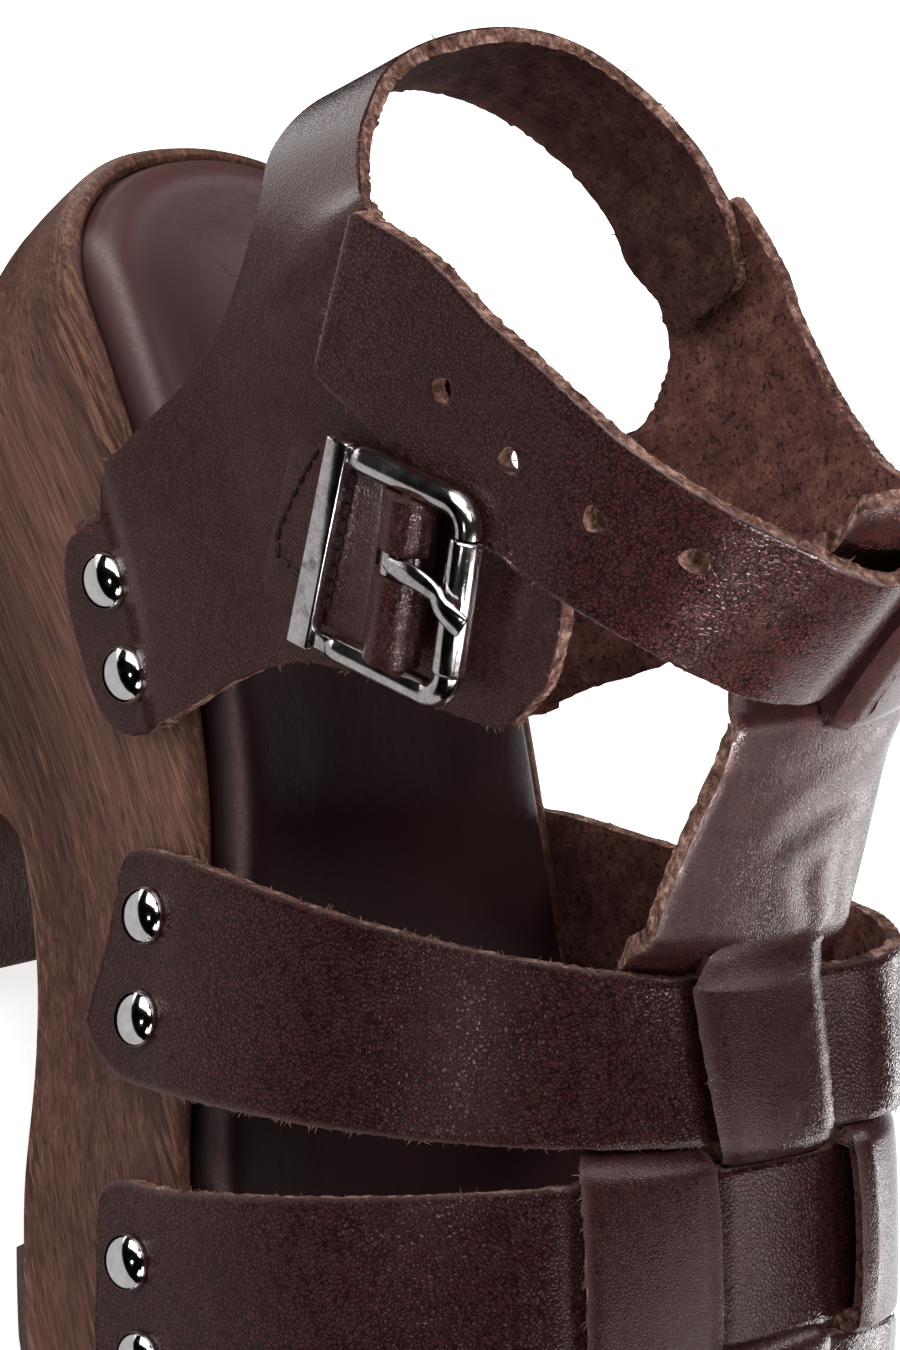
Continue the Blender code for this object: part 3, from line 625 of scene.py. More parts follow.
raw_edge = Finish("raw_edge", {"Specular IOR Level": 0.1})
edge_fibres = raw_edge.noise(1000.0, 4.0, 0.7)
edge_clumps = raw_edge.noise(330.0, 3.0, 0.6)
raw_edge.wear(
    base_color=raw_edge.ramp(
        edge_fibres * 0.6 + edge_clumps * 0.4,
        (0.38, rgb(0.03, 0.012, 0.009)),
        (0.5, rgb(0.145, 0.072, 0.055)),
        (0.64, rgb(0.44, 0.275, 0.225)),
    ),
    roughness=edge_clumps * 0.2 + 0.8,
    normal=raw_edge.bump(edge_fibres, 0.0005, 0.8),
)
UPPER_FINISHES = [upper_leather.material, lit_flesh_side.material, raw_edge.material]
GRAIN, FLESH, RAW = range(3)


def unit(vectors):
    """The vectors along the last axis, brought to length 1."""
    vectors = np.asarray(vectors, float)
    return vectors / np.linalg.norm(vectors, axis=-1, keepdims=True)


def outward(middle):
    """Unit normals of a sheet of points, away from the foot."""
    return unit(np.cross(np.gradient(middle, axis=1), np.gradient(middle, axis=0)))


cut_edges = []


def leather_wall(name, middle, lift, seed, present=None, thickness=LEATHER,
                 grain=upper_leather, flesh=lit_flesh_side, rub=0.0, arris_sheen=0.5):
    """Leather of even thickness on a sheet of middle points, raised by a lift, its cut edges rough.

    Only the cells that are present are made. The sheen is how much painted highlight, a pale colour, lies
    on the grain at each point, the arris sheen the same along the cut edges.
    """
    middle = middle + outward(middle) * lift[..., None]
    normal = outward(middle)
    rows, columns = middle.shape[0] - 1, middle.shape[1] - 1
    if present is None:
        present = np.ones((rows, columns), bool)
    around = np.pad(present, 1)
    inside = around[:-1, :-1] & around[1:, :-1] & around[:-1, 1:] & around[1:, 1:]
    chance = np.random.default_rng(seed).normal(0.0, 1.0, (2, *middle.shape))
    fray, tear = chance * ~inside[None, ..., None]
    middle = middle + fray * FRAY
    outer_half, inner_half = (np.where(inside, 0.5, edge)[..., None] * thickness for edge in EDGE_HALVES)
    flat, facing = middle.reshape(-1, 3), normal.reshape(-1, 3)
    points = np.concatenate(((middle + normal * outer_half).reshape(-1, 3),
                             (middle - normal * inner_half + tear * TEAR).reshape(-1, 3)))
    index = np.arange((rows + 1) * (columns + 1)).reshape(rows + 1, columns + 1)
    under = index.size
    corners = (index[:-1, :-1], index[:-1, 1:], index[1:, 1:], index[1:, :-1])
    outer = np.stack(corners, axis=-1)[present]
    inner = np.stack(corners[::-1], axis=-1)[present] + under
    beside = (around[:-2, 1:-1], around[1:-1, 2:], around[2:, 1:-1], around[1:-1, :-2])
    cut = []
    for k in range(4):
        bare = present & ~beside[k]
        p, q = corners[k][bare], corners[(k + 1) % 4][bare]
        cut.append(np.stack((q, p, p + under, q + under), axis=-1))
        far = flat[corners[(k + 2) % 4][bare]] + flat[corners[(k + 3) % 4][bare]]
        cut_edges.append((flat[p], flat[q], flat[p] + flat[q] - far, facing[p]))
    cut = np.concatenate(cut)
    faces = np.concatenate((outer, inner, cut))
    used, faces = np.unique(faces, return_inverse=True)
    kinds = np.repeat((GRAIN, FLESH, RAW), (len(outer), len(inner), len(cut)))
    finishes = [grain.material, flesh.material, raw_edge.material]
    piece = new_piece(name, points[used], faces.reshape(-1, 4).tolist(), finishes, kinds)
    crease(piece, 50)
    # Painted highlight: sheen marked over the grain and along the arris of the cut edges.
    pale = np.where(inside, np.broadcast_to(rub, inside.shape), arris_sheen).ravel()
    mark_points(piece, "rubbed", np.concatenate((pale, 0 * pale))[used])
    return piece


BAND_ROWS = (
    # station, low x, low y, low z, high x, high y, high z: the outer quarter from its wing tip back
    (0.0, 91.2, -31.6, 119.5, 88.6, -31.6, 129.0),
    (1.0, 84.5, -31.8, 109.5, 81.0, -31.9, 136.0),
    (2.0, 75.5, -32.0, 97.5, 73.0, -32.0, 134.6),
    (3.0, 70.4, -32.2, 84.0, 66.0, -32.0, 133.4),
    (4.0, 69.6, -32.3, 56.5, 60.5, -32.0, 132.4),
    (5.0, 57.0, -32.3, 52.6, 52.0, -32.0, 131.2),
    (6.0, 43.6, -32.5, 58.5, 43.5, -32.0, 130.0),
    (6.42, 43.0, -32.5, 65.2, 40.9, -32.0, 129.7),
    (6.58, 39.7, -32.6, 69.0, 39.9, -32.0, 129.6),
    (7.0, 38.0, -32.6, 73.0, 37.0, -32.0, 129.2),
    (8.0, 34.4, -32.2, 88.0, 32.0, -31.8, 128.4),
    (9.0, 29.0, -31.6, 98.5, 26.5, -31.4, 127.0),
    # the sling round the heel
    (10.0, 20.5, -29.2, 106.0, 24.0, -28.0, 123.5),
    (11.0, 12.0, -21.8, 105.0, 15.5, -21.5, 121.0),
    (12.0, 6.2, -9.5, 103.8, 7.4, -10.5, 119.5),
    (13.0, 5.0, 5.0, 104.2, 5.4, 4.5, 120.4),
    (14.0, 9.8, 17.0, 104.6, 9.2, 15.5, 122.6),
    (15.0, 20.0, 25.6, 106.2, 18.8, 23.0, 125.0),
    (16.0, 33.5, 29.2, 107.4, 32.2, 27.8, 127.2),
    # the inner quarter
    (17.0, 46.2, 30.2, 105.4, 44.0, 29.2, 129.0),
    (18.0, 52.4, 31.0, 93.6, 53.0, 29.4, 130.0),
    (19.0, 50.6, 31.3, 60.5, 60.0, 29.0, 131.4),
    (20.0, 63.0, 31.3, 51.4, 66.0, 28.0, 134.0),
    (21.0, 76.4, 31.5, 53.5, 71.5, 26.4, 137.4),
    (22.0, 79.0, 31.0, 74.0, 76.0, 24.6, 142.2),
    (23.0, 82.0, 29.4, 99.0, 80.2, 21.8, 148.8),
    (24.0, 87.0, 26.6, 118.0, 83.8, 17.6, 155.6),
    # the ankle strap, through the T-strap and down to its end
    (25.0, 92.6, 21.4, 132.0, 86.4, 13.0, 161.4),
    (26.0, 96.0, 13.0, 139.0, 87.6, 7.5, 164.4),
    (27.0, 98.4, 0.8, 144.3, 90.6, -1.5, 166.0),
    (28.0, 99.0, -9.2, 145.0, 91.6, -10.5, 166.2),
    (29.0, 96.2, -22.0, 146.0, 86.6, -20.5, 165.6),
    (30.0, 89.4, -31.0, 144.6, 79.6, -28.8, 163.0),
    (31.0, 82.2, -34.2, 139.6, 70.2, -33.4, 157.6),
    (32.0, 72.6, -34.5, 131.6, 58.4, -34.5, 150.6),
    (33.0, 61.6, -34.5, 124.6, 47.4, -34.6, 143.4),
    (34.0, 51.0, -34.6, 118.2, 36.6, -34.7, 137.2),
    (35.0, 42.4, -34.9, 112.8, 27.4, -34.8, 128.4),
)
band_stations, *band_columns = np.array(BAND_ROWS).T
band_edges = [smooth_through(band_stations, column) for column in band_columns]
NARROWING_RUN = 0.95


def band_sheet(first, last, per_section, columns, corner_start, corner_end, narrowing=(0.0, 0.0)):
    """Sheet of the ankle band between two sections, with its end corners rounded.

    A corner is (length in sections, share of the width taken at the low and at the high edge); a
    narrowing is the share that the last section loses at both edges. Each point's station comes too.
    """
    along = np.linspace(first, last, int(round((last - first) * per_section)) + 1)
    low = np.stack([curve(along) for curve in band_edges[:3]], axis=1)
    high = np.stack([curve(along) for curve in band_edges[3:]], axis=1)
    share = np.linspace(0.0, 1.0, columns + 1)[None, :]
    low_cut = np.zeros(len(along))
    high_cut = np.zeros(len(along))
    for away, (length, take_low, take_high) in ((along - first, corner_start), (last - along, corner_end)):
        round_off = 1 - np.sqrt(np.clip(1 - np.clip(1 - away / length, 0.0, 1.0) ** 2, 0.0, 1.0))
        low_cut += take_low * round_off
        high_cut += take_high * round_off
    taper = ease((along - last + NARROWING_RUN) / NARROWING_RUN)
    low_cut += narrowing[0] * taper
    high_cut += narrowing[1] * taper
    share = low_cut[:, None] + share * (1 - low_cut - high_cut)[:, None]
    sheet = low[:, None, :] + (high - low)[:, None, :] * share[..., None]
    return sheet, along[:, None] + 0 * share


def step_between(value, low, high, width):
    """1 between low and high, with soft steps of a width at both."""
    return ease((value - low) / width + 0.5) * ease((high - value) / width + 0.5)


LAP_START = 16.03
LAP_END = 16.85
LAP_LIFT = 1.15
BAND_END = 35.0
FOLD_LIFT = 1.5
FOLD_ABOVE_RIM = 0.8
FOLD_SHOULDER = 24.0
FOLD_DROP = 6.2
FOLD_TUCK = 1.12
FOLD_SOFTNESS = 1.5
OUTER_FOOT = (2.5, 8.5)
INNER_FOOT = (18.0, 23.0)
# Painted highlight along the quarter's bend over the rim, partly a real burnish of the leather there.
RIDGE_SHEEN = 0.36
RIDGE_ABOVE_RIM = 0.3
RIDGE_WIDTH = 1.3
RIDGE_STATIONS = (4.6, 7.2)


def rim_fold(sheet, along, foot):
    """Lift of a quarter's foot where it bends out over the rim: soft above, a short drop below."""
    above = sheet[..., 2] - rim_height(sheet[..., 0]) - FOLD_ABOVE_RIM
    shoulder = np.where(above > 0, 1 - ease(above / FOLD_SHOULDER), 1 - FOLD_TUCK * ease(-above / FOLD_DROP))
    return FOLD_LIFT * shoulder * step_between(along, *foot, FOLD_SOFTNESS)


quarter_sheet, quarter_along = band_sheet(
    0.0, LAP_END, 20, 72, (0.22, 0.16, 0.1), (0.16, 0.08, 0.08), (0.2, 0.2))
quarter_lift = rim_fold(quarter_sheet, quarter_along, OUTER_FOOT)
quarter_lift = quarter_lift - LAP_LIFT * ease((quarter_along - LAP_START + 0.55) / 0.5)
# Painted sheen along the bend over the rim, standing in for its highlight and partly a real burnish.
ridge_sheen = quarter_sheet[..., 2] - rim_height(quarter_sheet[..., 0]) - RIDGE_ABOVE_RIM
ridge_sheen = RIDGE_SHEEN * hump(ridge_sheen, RIDGE_WIDTH) * step_between(quarter_along, *RIDGE_STATIONS, 1.0)
quarter = leather_wall(
    "quarter_and_sling", quarter_sheet, quarter_lift, seed=3, flesh=shaded_flesh_side, rub=ridge_sheen, arris_sheen=0.35)

STRAP_STEPS = (
    # lift, stations it starts and ends at, softness: out over the T-strap, then in under it
    (0.9, 27.9, 28.9, 0.6),
    (-1.2, 25.2, 27.4, 0.9),
)
TAIL_LIFT = 0.5
TAIL_START = 30.5
TAIL_RUN = 1.2
strap_sheet, strap_along = band_sheet(LAP_START, BAND_END, 18, 64, (0.08, 0.05, 0.05), (0.1, 0.07, 0.07))
strap_lift = LAP_LIFT * (1 - ease((strap_along - LAP_END - 0.1) / 0.6))
strap_lift = strap_lift + rim_fold(strap_sheet, strap_along, INNER_FOOT)
for lift, *stations in STRAP_STEPS:
    strap_lift = strap_lift + lift * step_between(strap_along, *stations)
strap_lift = strap_lift + TAIL_LIFT * ease((strap_along - TAIL_START) / TAIL_RUN)
ankle_strap = leather_wall(
    "inner_quarter_and_strap", strap_sheet, strap_lift, seed=4, grain=shaded_hollows_leather, arris_sheen=0.8)

HOLES = ((52.2, 132.6), (63.6, 139.1), (74.5, 148.3), (83.5, 156.6))
HOLE_RADIUS = 1.6
HOLE_SIDES = 18
HOLE_UNEVENNESS = 0.07
HOLE_TOOL_ENDS = (-42.0, -29.0)
HOLE_RIM_STEPS = 30
OUTER_STATION = 30.0


def joined(parts):
    """Points and faces of several parts as one."""
    points = []
    faces = []
    for some_points, some_faces in parts:
        shift = len(points)
        points += list(some_points)
        faces += [tuple(i + shift for i in face) for face in some_faces]
    return points, faces


def hole_ring(x, y, z):
    """Slightly uneven ring of points round a punched hole."""
    ring = []
    for k in range(HOLE_SIDES):
        turn = 2 * math.pi * k / HOLE_SIDES
        radius = HOLE_RADIUS * (1 + HOLE_UNEVENNESS * math.sin(3 * turn + x))
        ring.append((x + radius * math.cos(turn), y, z + radius * math.sin(turn)))
    return ring


hole_points, hole_faces = joined([prism(*(hole_ring(x, y, z) for y in HOLE_TOOL_ENDS)) for x, z in HOLES])
cut_away(ankle_strap, new_piece(
    "hole_tool", hole_points, hole_faces, UPPER_FINISHES, [RAW] * len(hole_faces), tidy=True))
tail_points = strap_sheet[strap_along[:, 0] > OUTER_STATION].reshape(-1, 3)
rim_turns = np.linspace(0.0, 2 * math.pi, HOLE_RIM_STEPS + 1)
ring = np.stack((np.cos(rim_turns), 0 * rim_turns, np.sin(rim_turns)), axis=1)
for x, z in HOLES:
    middle_y = tail_points[np.argmin(np.hypot(tail_points[:, 0] - x, tail_points[:, 2] - z)), 1]
    rim = ring * HOLE_RADIUS + (x, middle_y, z)
    cut_edges.append((rim[:-1], rim[1:], -ring[:-1], np.tile((0.0, -1.0, 0.0), (HOLE_RIM_STEPS, 1))))

# Cross straps
# Three straps of the same leather over the foot, each nailed to the wood at both ends and woven
# over and under the strips of the T-strap.
WALL_GAP = 0.3
FLANGE_DROP = 12.5
FLANGE_LEAN = 0.5
END_CORNER = 7.0
MEDIAL_FULLNESS = 2.7
VAMP_ROWS = (
    # cells to next row, lateral foot x, medial foot x, crown x, y, z
    (3, 190.0, 192.0, 187.0, 9.0, 78.0),
    (1, 162.5, 166.0, 168.2, 10.0, 91.4),
    (3, 152.5, 156.0, 166.4, 10.0, 92.6),
    (1, 124.0, 128.0, 146.8, 10.0, 103.4),
    (3, 113.0, 117.0, 144.6, 10.0, 104.8),
    (3, 86.5, 92.0, 126.4, 9.0, 113.0),
    (2, 76.0, 80.0, 115.4, 6.0, 122.4),
    (3, 66.0, 70.0, 104.6, 4.0, 134.2),
    (2, 56.0, 60.0, 95.2, 2.0, 152.0),
    (0, 50.0, 54.0, 85.5, 1.0, 178.0),
)
vamp_cells, *vamp_columns = np.array(VAMP_ROWS).T
vamp_stations = np.concatenate(([0], np.cumsum(vamp_cells[:-1])))
vamp_curves = [smooth_through(vamp_stations, column) for column in vamp_columns]
STRAPS = (
    # name, front row, back row, over (1) or under (-1) the left, middle and right strip
    ("strap_3", 0.0, 3.0, (1, -1, 1)),
    ("strap_2", 4.0, 7.0, (-1, 1, -1)),
    ("strap_1", 8.0, 11.0, (1, -1, 1)),
)
STRIP_ROWS = (
    # row, left and right edge (y) of the left, middle and right strip
    (-1.0, -19.0, -6.0, -4.2, 10.0, 14.5, 25.0),
    (4.0, -19.6, -6.3, -4.4, 10.0, 14.5, 25.6),
    (7.4, -19.4, -6.9, -4.6, 9.7, 12.8, 25.4),
    (9.5, -16.4, -6.8, -5.8, 9.0, 10.6, 20.0),
    (11.0, -13.6, -6.9, -6.5, 8.5, 8.9, 15.6),
    (11.7, -14.4, -6.6, -6.3, 8.45, 8.75, 14.6),
    (12.6, -16.8, -5.15, -4.85, 8.15, 8.45, 14.4),
    (14.2, -15.9, -4.15, -3.85, 8.0, 8.3, 15.6),
    (15.7, -13.7, -2.15, -1.85, 7.5, 7.8, 16.4),
    (17.1, -12.7, -2.15, -1.85, 7.2, 7.5, 16.2),
    (17.7, -12.6, 1.2, -2.4, 7.2, 7.5, 16.2),
    (19.8, -13.0, 1.2, -2.4, 7.0, 7.3, 16.1),
    (20.4, -13.4, -2.15, -1.85, 7.0, 7.3, 15.8),
    (21.0, -13.6, -2.15, -1.85, 7.0, 7.3, 15.6),
)
STRAP_LIFT = {1: 0.35, -1: 0.9}
STRAP_DIP_REACH = {1: 0.0, -1: 1.4}
STRAP_STEP_WIDTH = 2.4
STAND_OFF = 5.5
STAND_OFF_Y = (16.0, 31.0, 12.0)


def strap_root(x, side):
    """Middle of the leather where it stands against the wood, at rim height."""
    y = side * (sole_width[side](x) + WALL_GAP + LEATHER / 2)
    return np.array((float(x), float(y), float(rim_height(x))))


def run_along(line):
    """Distance along a line of points at each of them."""
    return np.concatenate(([0.0], np.cumsum(np.linalg.norm(np.diff(line, axis=0), axis=1))))


def points_along(line, run, distances):
    return np.stack([np.interp(distances, run, line[:, k]) for k in range(3)], axis=1)


def arch_point(root, crown, angle):
    """Point of an arch that stands upright at the root and lies level at the crown."""
    power = 2 / MEDIAL_FULLNESS if root[1] > crown[1] else 1.0
    rise = np.sin(angle) ** power
    reach = np.maximum(np.cos(angle), 0.0) ** power
    return np.stack((root[0] + (crown[0] - root[0]) * rise,
                     crown[1] + (root[1] - crown[1]) * reach,
                     root[2] + (crown[2] - root[2]) * rise), axis=-1)


def strap_line(row, across, count):
    """Evenly spaced points from the lateral to the medial end at one line across a strap."""
    lateral_x, medial_x, *crown = (float(curve(row)) for curve in vamp_curves)
    crown = np.array(crown)
    lines = []
    for side, foot_x in ((LATERAL, lateral_x), (MEDIAL, medial_x)):
        flange = []
        for drop in np.linspace(FLANGE_DROP, 0.0, 26)[:-1]:
            away = min(FLANGE_DROP - drop, END_CORNER)
            pull = END_CORNER - math.sqrt(END_CORNER ** 2 - (END_CORNER - away) ** 2)
            x = foot_x + (2 * across - 1) * pull - FLANGE_LEAN * drop
            flange.append(strap_root(x, side) * (1, 1, 0) + (0, 0, rim_height(foot_x) - drop))
        arch = arch_point(strap_root(foot_x, side), crown, np.linspace(0.0, math.pi / 2, 160))
        lines.append(np.concatenate((flange, arch)))
    whole = np.concatenate((lines[0], lines[1][-2::-1]))
    run = run_along(whole)
    return points_along(whole, run, np.linspace(0.0, run[-1], count))


def strip_edges(row):
    """y of both edges of the three strips at a row."""
    rows = np.array(STRIP_ROWS)
    return np.array([np.interp(row, rows[:, 0], rows[:, k]) for k in range(1, 7)]).reshape(3, 2)


for name, front, back, order in STRAPS:
    rows = np.linspace(front, back, 27)
    sheet = np.stack([strap_line(row, (row - front) / (back - front), 230) for row in rows])
    lift = np.zeros(sheet.shape[:2])
    for i, row in enumerate(rows):
        for (left, right), over in zip(strip_edges(row), order):
            reach = STRAP_DIP_REACH[over]
            crossing = step_between(sheet[i, :, 1], left - reach, right + reach, STRAP_STEP_WIDTH)
            lift[i] += over * STRAP_LIFT[over] * crossing
    if name == "strap_1":
        inner_rise = step_between(sheet[..., 1], *STAND_OFF_Y)
        lift += STAND_OFF * inner_rise * np.linspace(0.5, 1.0, len(rows))[:, None]
    strap = leather_wall(name, sheet, lift, seed=int(front) + 11, grain=shaded_hollows_leather)
    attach(strap, "shoe")

# T-strap
# One piece of leather up the instep: its lower end is slit into three strips woven through the cross
# straps, and a slit near its top lets the ankle strap pass from inside to outside.
T_LEATHER = 3.0
SLIT_TOP = 11.7
STRAP_SLIT = (17.15, 20.35)
SLIT_SINK = 3.2
FLAP_LIFT = (3.2, 1.2)
FLAP_FROM = 14.0
FLAP_RUN = 16.0
TIP_ROW = -0.45
TIP_TUCK = 2.6
TIP_SLOPE_ROW = 0.3
SIDE_STRIPS_START = 0.3
LEAD_IN = 0.7
LEAD_OUT = {"strap_1": 1.4, "strap_2": 0.7, "strap_3": 0.7}
STRIP_LIFT = {1: 2.25, -1: 1.7}
STRIP_TILT = (0.0, 0.4, 0.75)
STRIP_BULGE = 0.35
STRIP_COLUMNS = 15
T_FLATNESS = ((10.9, 12.6, 16.0, 17.6, 19.0), (0.0, 0.75, 0.75, 0.5, 0.25))
WRINKLES = (
    # height, width, then row and y along the fold
    (0.3, 2.4, ((15.2, -4.0), (15.6, 1.5), (16.1, 9.0), (16.4, 15.5))),
    (-0.14, 1.8, ((14.7, -1.5), (15.1, 4.5), (15.4, 13.5))),
    (0.18, 1.8, ((14.3, 0.0), (14.7, 7.0), (14.9, 13.5))),
    (-0.14, 1.5, ((14.5, 9.0), (13.6, 9.6), (12.3, 11.0))),
    (0.2, 1.7, ((14.0, 6.5), (13.0, 7.8), (11.9, 8.6))),
    (-0.12, 1.5, ((13.8, 3.5), (12.9, 5.8), (11.9, 7.6))),
    (0.16, 2.0, ((13.4, 1.0), (12.6, 3.4), (11.8, 5.4))),
)
smooth_leather = leather_finish("smooth_leather", 0.0004, 0.14, 0.75, 1.0)
t_rows = np.arange(TIP_ROW, 21.001, 0.125)
strip_of_column = np.repeat((0, 1, 2), STRIP_COLUMNS)
strip_shares = np.linspace(0.0, 1.0, STRIP_COLUMNS)


def near_line(points, line, width):
    """A hump over a line of shoe points."""
    line = np.asarray(line, float)
    best = np.full(points.shape[:-1], 1e9)
    for start, end in zip(line, line[1:]):
        run = end - start
        share = np.clip(((points - start) @ run) / (run @ run), 0.0, 1.0)
        best = np.minimum(best, np.linalg.norm(points - start - share[..., None] * run, axis=-1))
    return hump(best, width)


def vamp_point(row, y):
    """Point of the T-strap at a row; its outer half lies flatter than the cross straps."""
    lateral_x, medial_x, *crown = (float(curve(row)) for curve in vamp_curves)
    crown = np.array(crown)
    if row < 0:
        behind = np.array([float(curve(TIP_SLOPE_ROW)) for curve in vamp_curves[2:]])
        crown = crown + (crown - behind) * (-row / TIP_SLOPE_ROW)
    side = LATERAL if y < crown[1] else MEDIAL
    root = strap_root(lateral_x if side == LATERAL else medial_x, side)
    power = 2 / MEDIAL_FULLNESS if side == MEDIAL else 1.0
    angle = math.acos(((y - crown[1]) / (root[1] - crown[1])) ** (1 / power))
    point = arch_point(root, crown, angle)
    flatness = np.interp(row, *T_FLATNESS) if side == LATERAL else 0.0
    return point + (crown - point) * (flatness, 0.0, flatness)


def vamp_line(row):
    """Points across the T-strap at a row, strip by strip from left to right."""
    return [vamp_point(row, left + (right - left) * share)
            for left, right in strip_edges(row) for share in strip_shares]


t_sheet = np.array([vamp_line(row) for row in t_rows])
t_lift = np.zeros(t_sheet.shape[:2])
for name, front, back, order in STRAPS:
    crossing = ease((t_rows - front + LEAD_IN) / LEAD_IN)
    crossing = crossing * ease((back + LEAD_OUT[name] - t_rows) / LEAD_OUT[name])
    bulge = 1 + STRIP_BULGE * np.sin(np.pi * np.clip((t_rows - front) / (back - front), 0.0, 1.0))
    for k, over in enumerate(order):
        rise = STRIP_LIFT[over] * crossing[:, None] * np.ones(STRIP_COLUMNS)
        if over < 0:
            rise *= bulge[:, None] * (1 + STRIP_TILT[k] * (1 - 2 * strip_shares))
        t_lift[:, strip_of_column == k] -= over * rise
in_slit = step_between(t_rows, STRAP_SLIT[0] + 0.1, STRAP_SLIT[1] - 0.1, 0.5)[:, None]
flap = FLAP_LIFT[1] + (FLAP_LIFT[0] - FLAP_LIFT[1]) * ease((FLAP_FROM - t_sheet[..., 1]) / FLAP_RUN)
t_lift += np.where(strip_of_column[None, :] == 0, -SLIT_SINK, flap) * in_slit
for height, width, fold in WRINKLES:
    t_lift += height * near_line(t_sheet, [vamp_point(row, y) for row, y in fold], width)
t_lift[:, strip_of_column == 1] -= (ease(t_rows / TIP_ROW) * TIP_TUCK)[:, None]
cell_row = (t_rows[:-1] + t_rows[1:]) / 2
left_strip, right_strip = strip_of_column[:-1], strip_of_column[1:]
in_gap = left_strip != right_strip
in_strap_slit = (cell_row > STRAP_SLIT[0]) & (cell_row < STRAP_SLIT[1])
t_present = np.ones((len(cell_row), len(in_gap)), bool)
t_present[np.ix_(cell_row < SLIT_TOP, in_gap)] = False
t_present[np.ix_(in_strap_slit, in_gap & (left_strip == 0))] = False
t_present[np.ix_(cell_row < SIDE_STRIPS_START, in_gap | (left_strip != 1))] = False
t_strap = leather_wall(
    "t_strap", t_sheet, t_lift, seed=21, present=t_present, thickness=T_LEATHER, grain=smooth_leather)
for piece in (quarter, ankle_strap, t_strap):
    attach(piece, "shoe")
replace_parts(quarter, "upper")

# Studs
# Domed nails of dark nickel with a polished head, two through each strap end into the wood.
STUD_RADIUS = 3.75
STUD_HEIGHT = 2.5
STUD_DROP = 6.5
STUD_SPACING = 11.7
STUD_PAIRS = (
    # name, lateral centre x, medial centre x
    ("quarter", 56.7, 64.0),
    ("strap1", 97.2, 104.0),
    ("strap2", 136.5, 141.0),
    ("strap3", 175.5, 178.5),
)
STUD_RIM = 0.25
STUD_SEAT = -0.3
STUD_STEPS = 12
STUD_SIDES = 28
stud_metal = mottled(
    "stud_metal", {"Metallic": 1.0}, (700.0, 4.0, 0.65),
    (0.35, rgb(0.78, 0.75, 0.75)), (0.65, rgb(0.97, 0.945, 0.94)), (0.14, 0.03))


def repeat_tree():
    """Geometry nodes that put a pattern on every point, turned and grown by the point's own marks."""
    tree = bpy.data.node_groups.new("repeat_on_points", "GeometryNodeTree")
    for way, socket, kind in (("INPUT", "Points", "Geometry"), ("INPUT", "Pattern", "Object"),
                              ("INPUT", "Finish", "Material"), ("OUTPUT", "Pieces", "Geometry")):
        tree.interface.new_socket(socket, in_out=way, socket_type="NodeSocket" + kind)
    nodes = {"in": tree.nodes.new("NodeGroupInput"), "out": tree.nodes.new("NodeGroupOutput")}
    for key, kind in (("pattern", "ObjectInfo"), ("turn", "InputNamedAttribute"),
                      ("growth", "InputNamedAttribute"), ("place", "InstanceOnPoints"),
                      ("solid", "RealizeInstances"), ("finish", "SetMaterial")):
        nodes[key] = tree.nodes.new("GeometryNode" + kind)
    for key, kind in (("turn", "FLOAT_VECTOR"), ("growth", "FLOAT")):
        nodes[key].data_type = kind
        nodes[key].inputs["Name"].default_value = key
    for source, output, target, socket in (
        ("in", "Points", "place", "Points"),
        ("in", "Pattern", "pattern", "Object"),
        ("pattern", "Geometry", "place", "Instance"),
        ("turn", "Attribute", "place", "Rotation"),
        ("growth", "Attribute", "place", "Scale"),
        ("place", "Instances", "solid", "Geometry"),
        ("solid", "Geometry", "finish", "Geometry"),
        ("in", "Finish", "finish", "Material"),
        ("finish", "Geometry", "out", "Pieces"),
    ):
        tree.links.new(nodes[source].outputs[output], nodes[target].inputs[socket])
    return tree


repeat_on_points = repeat_tree()


def repeat(name, pattern, places, turns, finish, growth=None):
    """One plain mesh of a pattern at each place in shoe millimetres, each grown by its own factor."""
    piece = new_piece(name, places, [], [finish])
    mark_points(piece, "growth", np.ones(len(places)) if growth is None else growth)
    turn = piece.data.attributes.new("turn", "FLOAT_VECTOR", "POINT")
    turn.data.foreach_set("vector", np.array([tuple(t.to_euler()) for t in turns], np.float32).ravel())
    maker = piece.modifiers.new("repeat", "NODES")
    maker.node_group = repeat_on_points
    wanted = {"Pattern": pattern, "Finish": finish}
    for item in repeat_on_points.interface.items_tree:
        if item.name in wanted:
            maker[item.identifier] = wanted[item.name]
    plain_mesh(piece)
    piece.data.shade_smooth()
    bpy.data.objects.remove(pattern)
    return piece


def circle(count):
    """Cosine and sine of evenly spaced turns."""
    turns = [2 * math.pi * k / count for k in range(count)]
    return [(math.cos(turn), math.sin(turn)) for turn in turns]


def turned_pattern(name, profile, segments, bend=0.0):
    """A pattern object, a millimetre profile of (radius, height) turned round its axis, which may bend."""
    points = [(radius * cosine + bend * height ** 2, radius * sine, height)
              for radius, height in profile for cosine, sine in circle(segments)]
    faces = ring_faces(len(profile), segments)
    return new_piece(name, np.array(points) + SHOE_MIDDLE, faces, [], tidy=True)


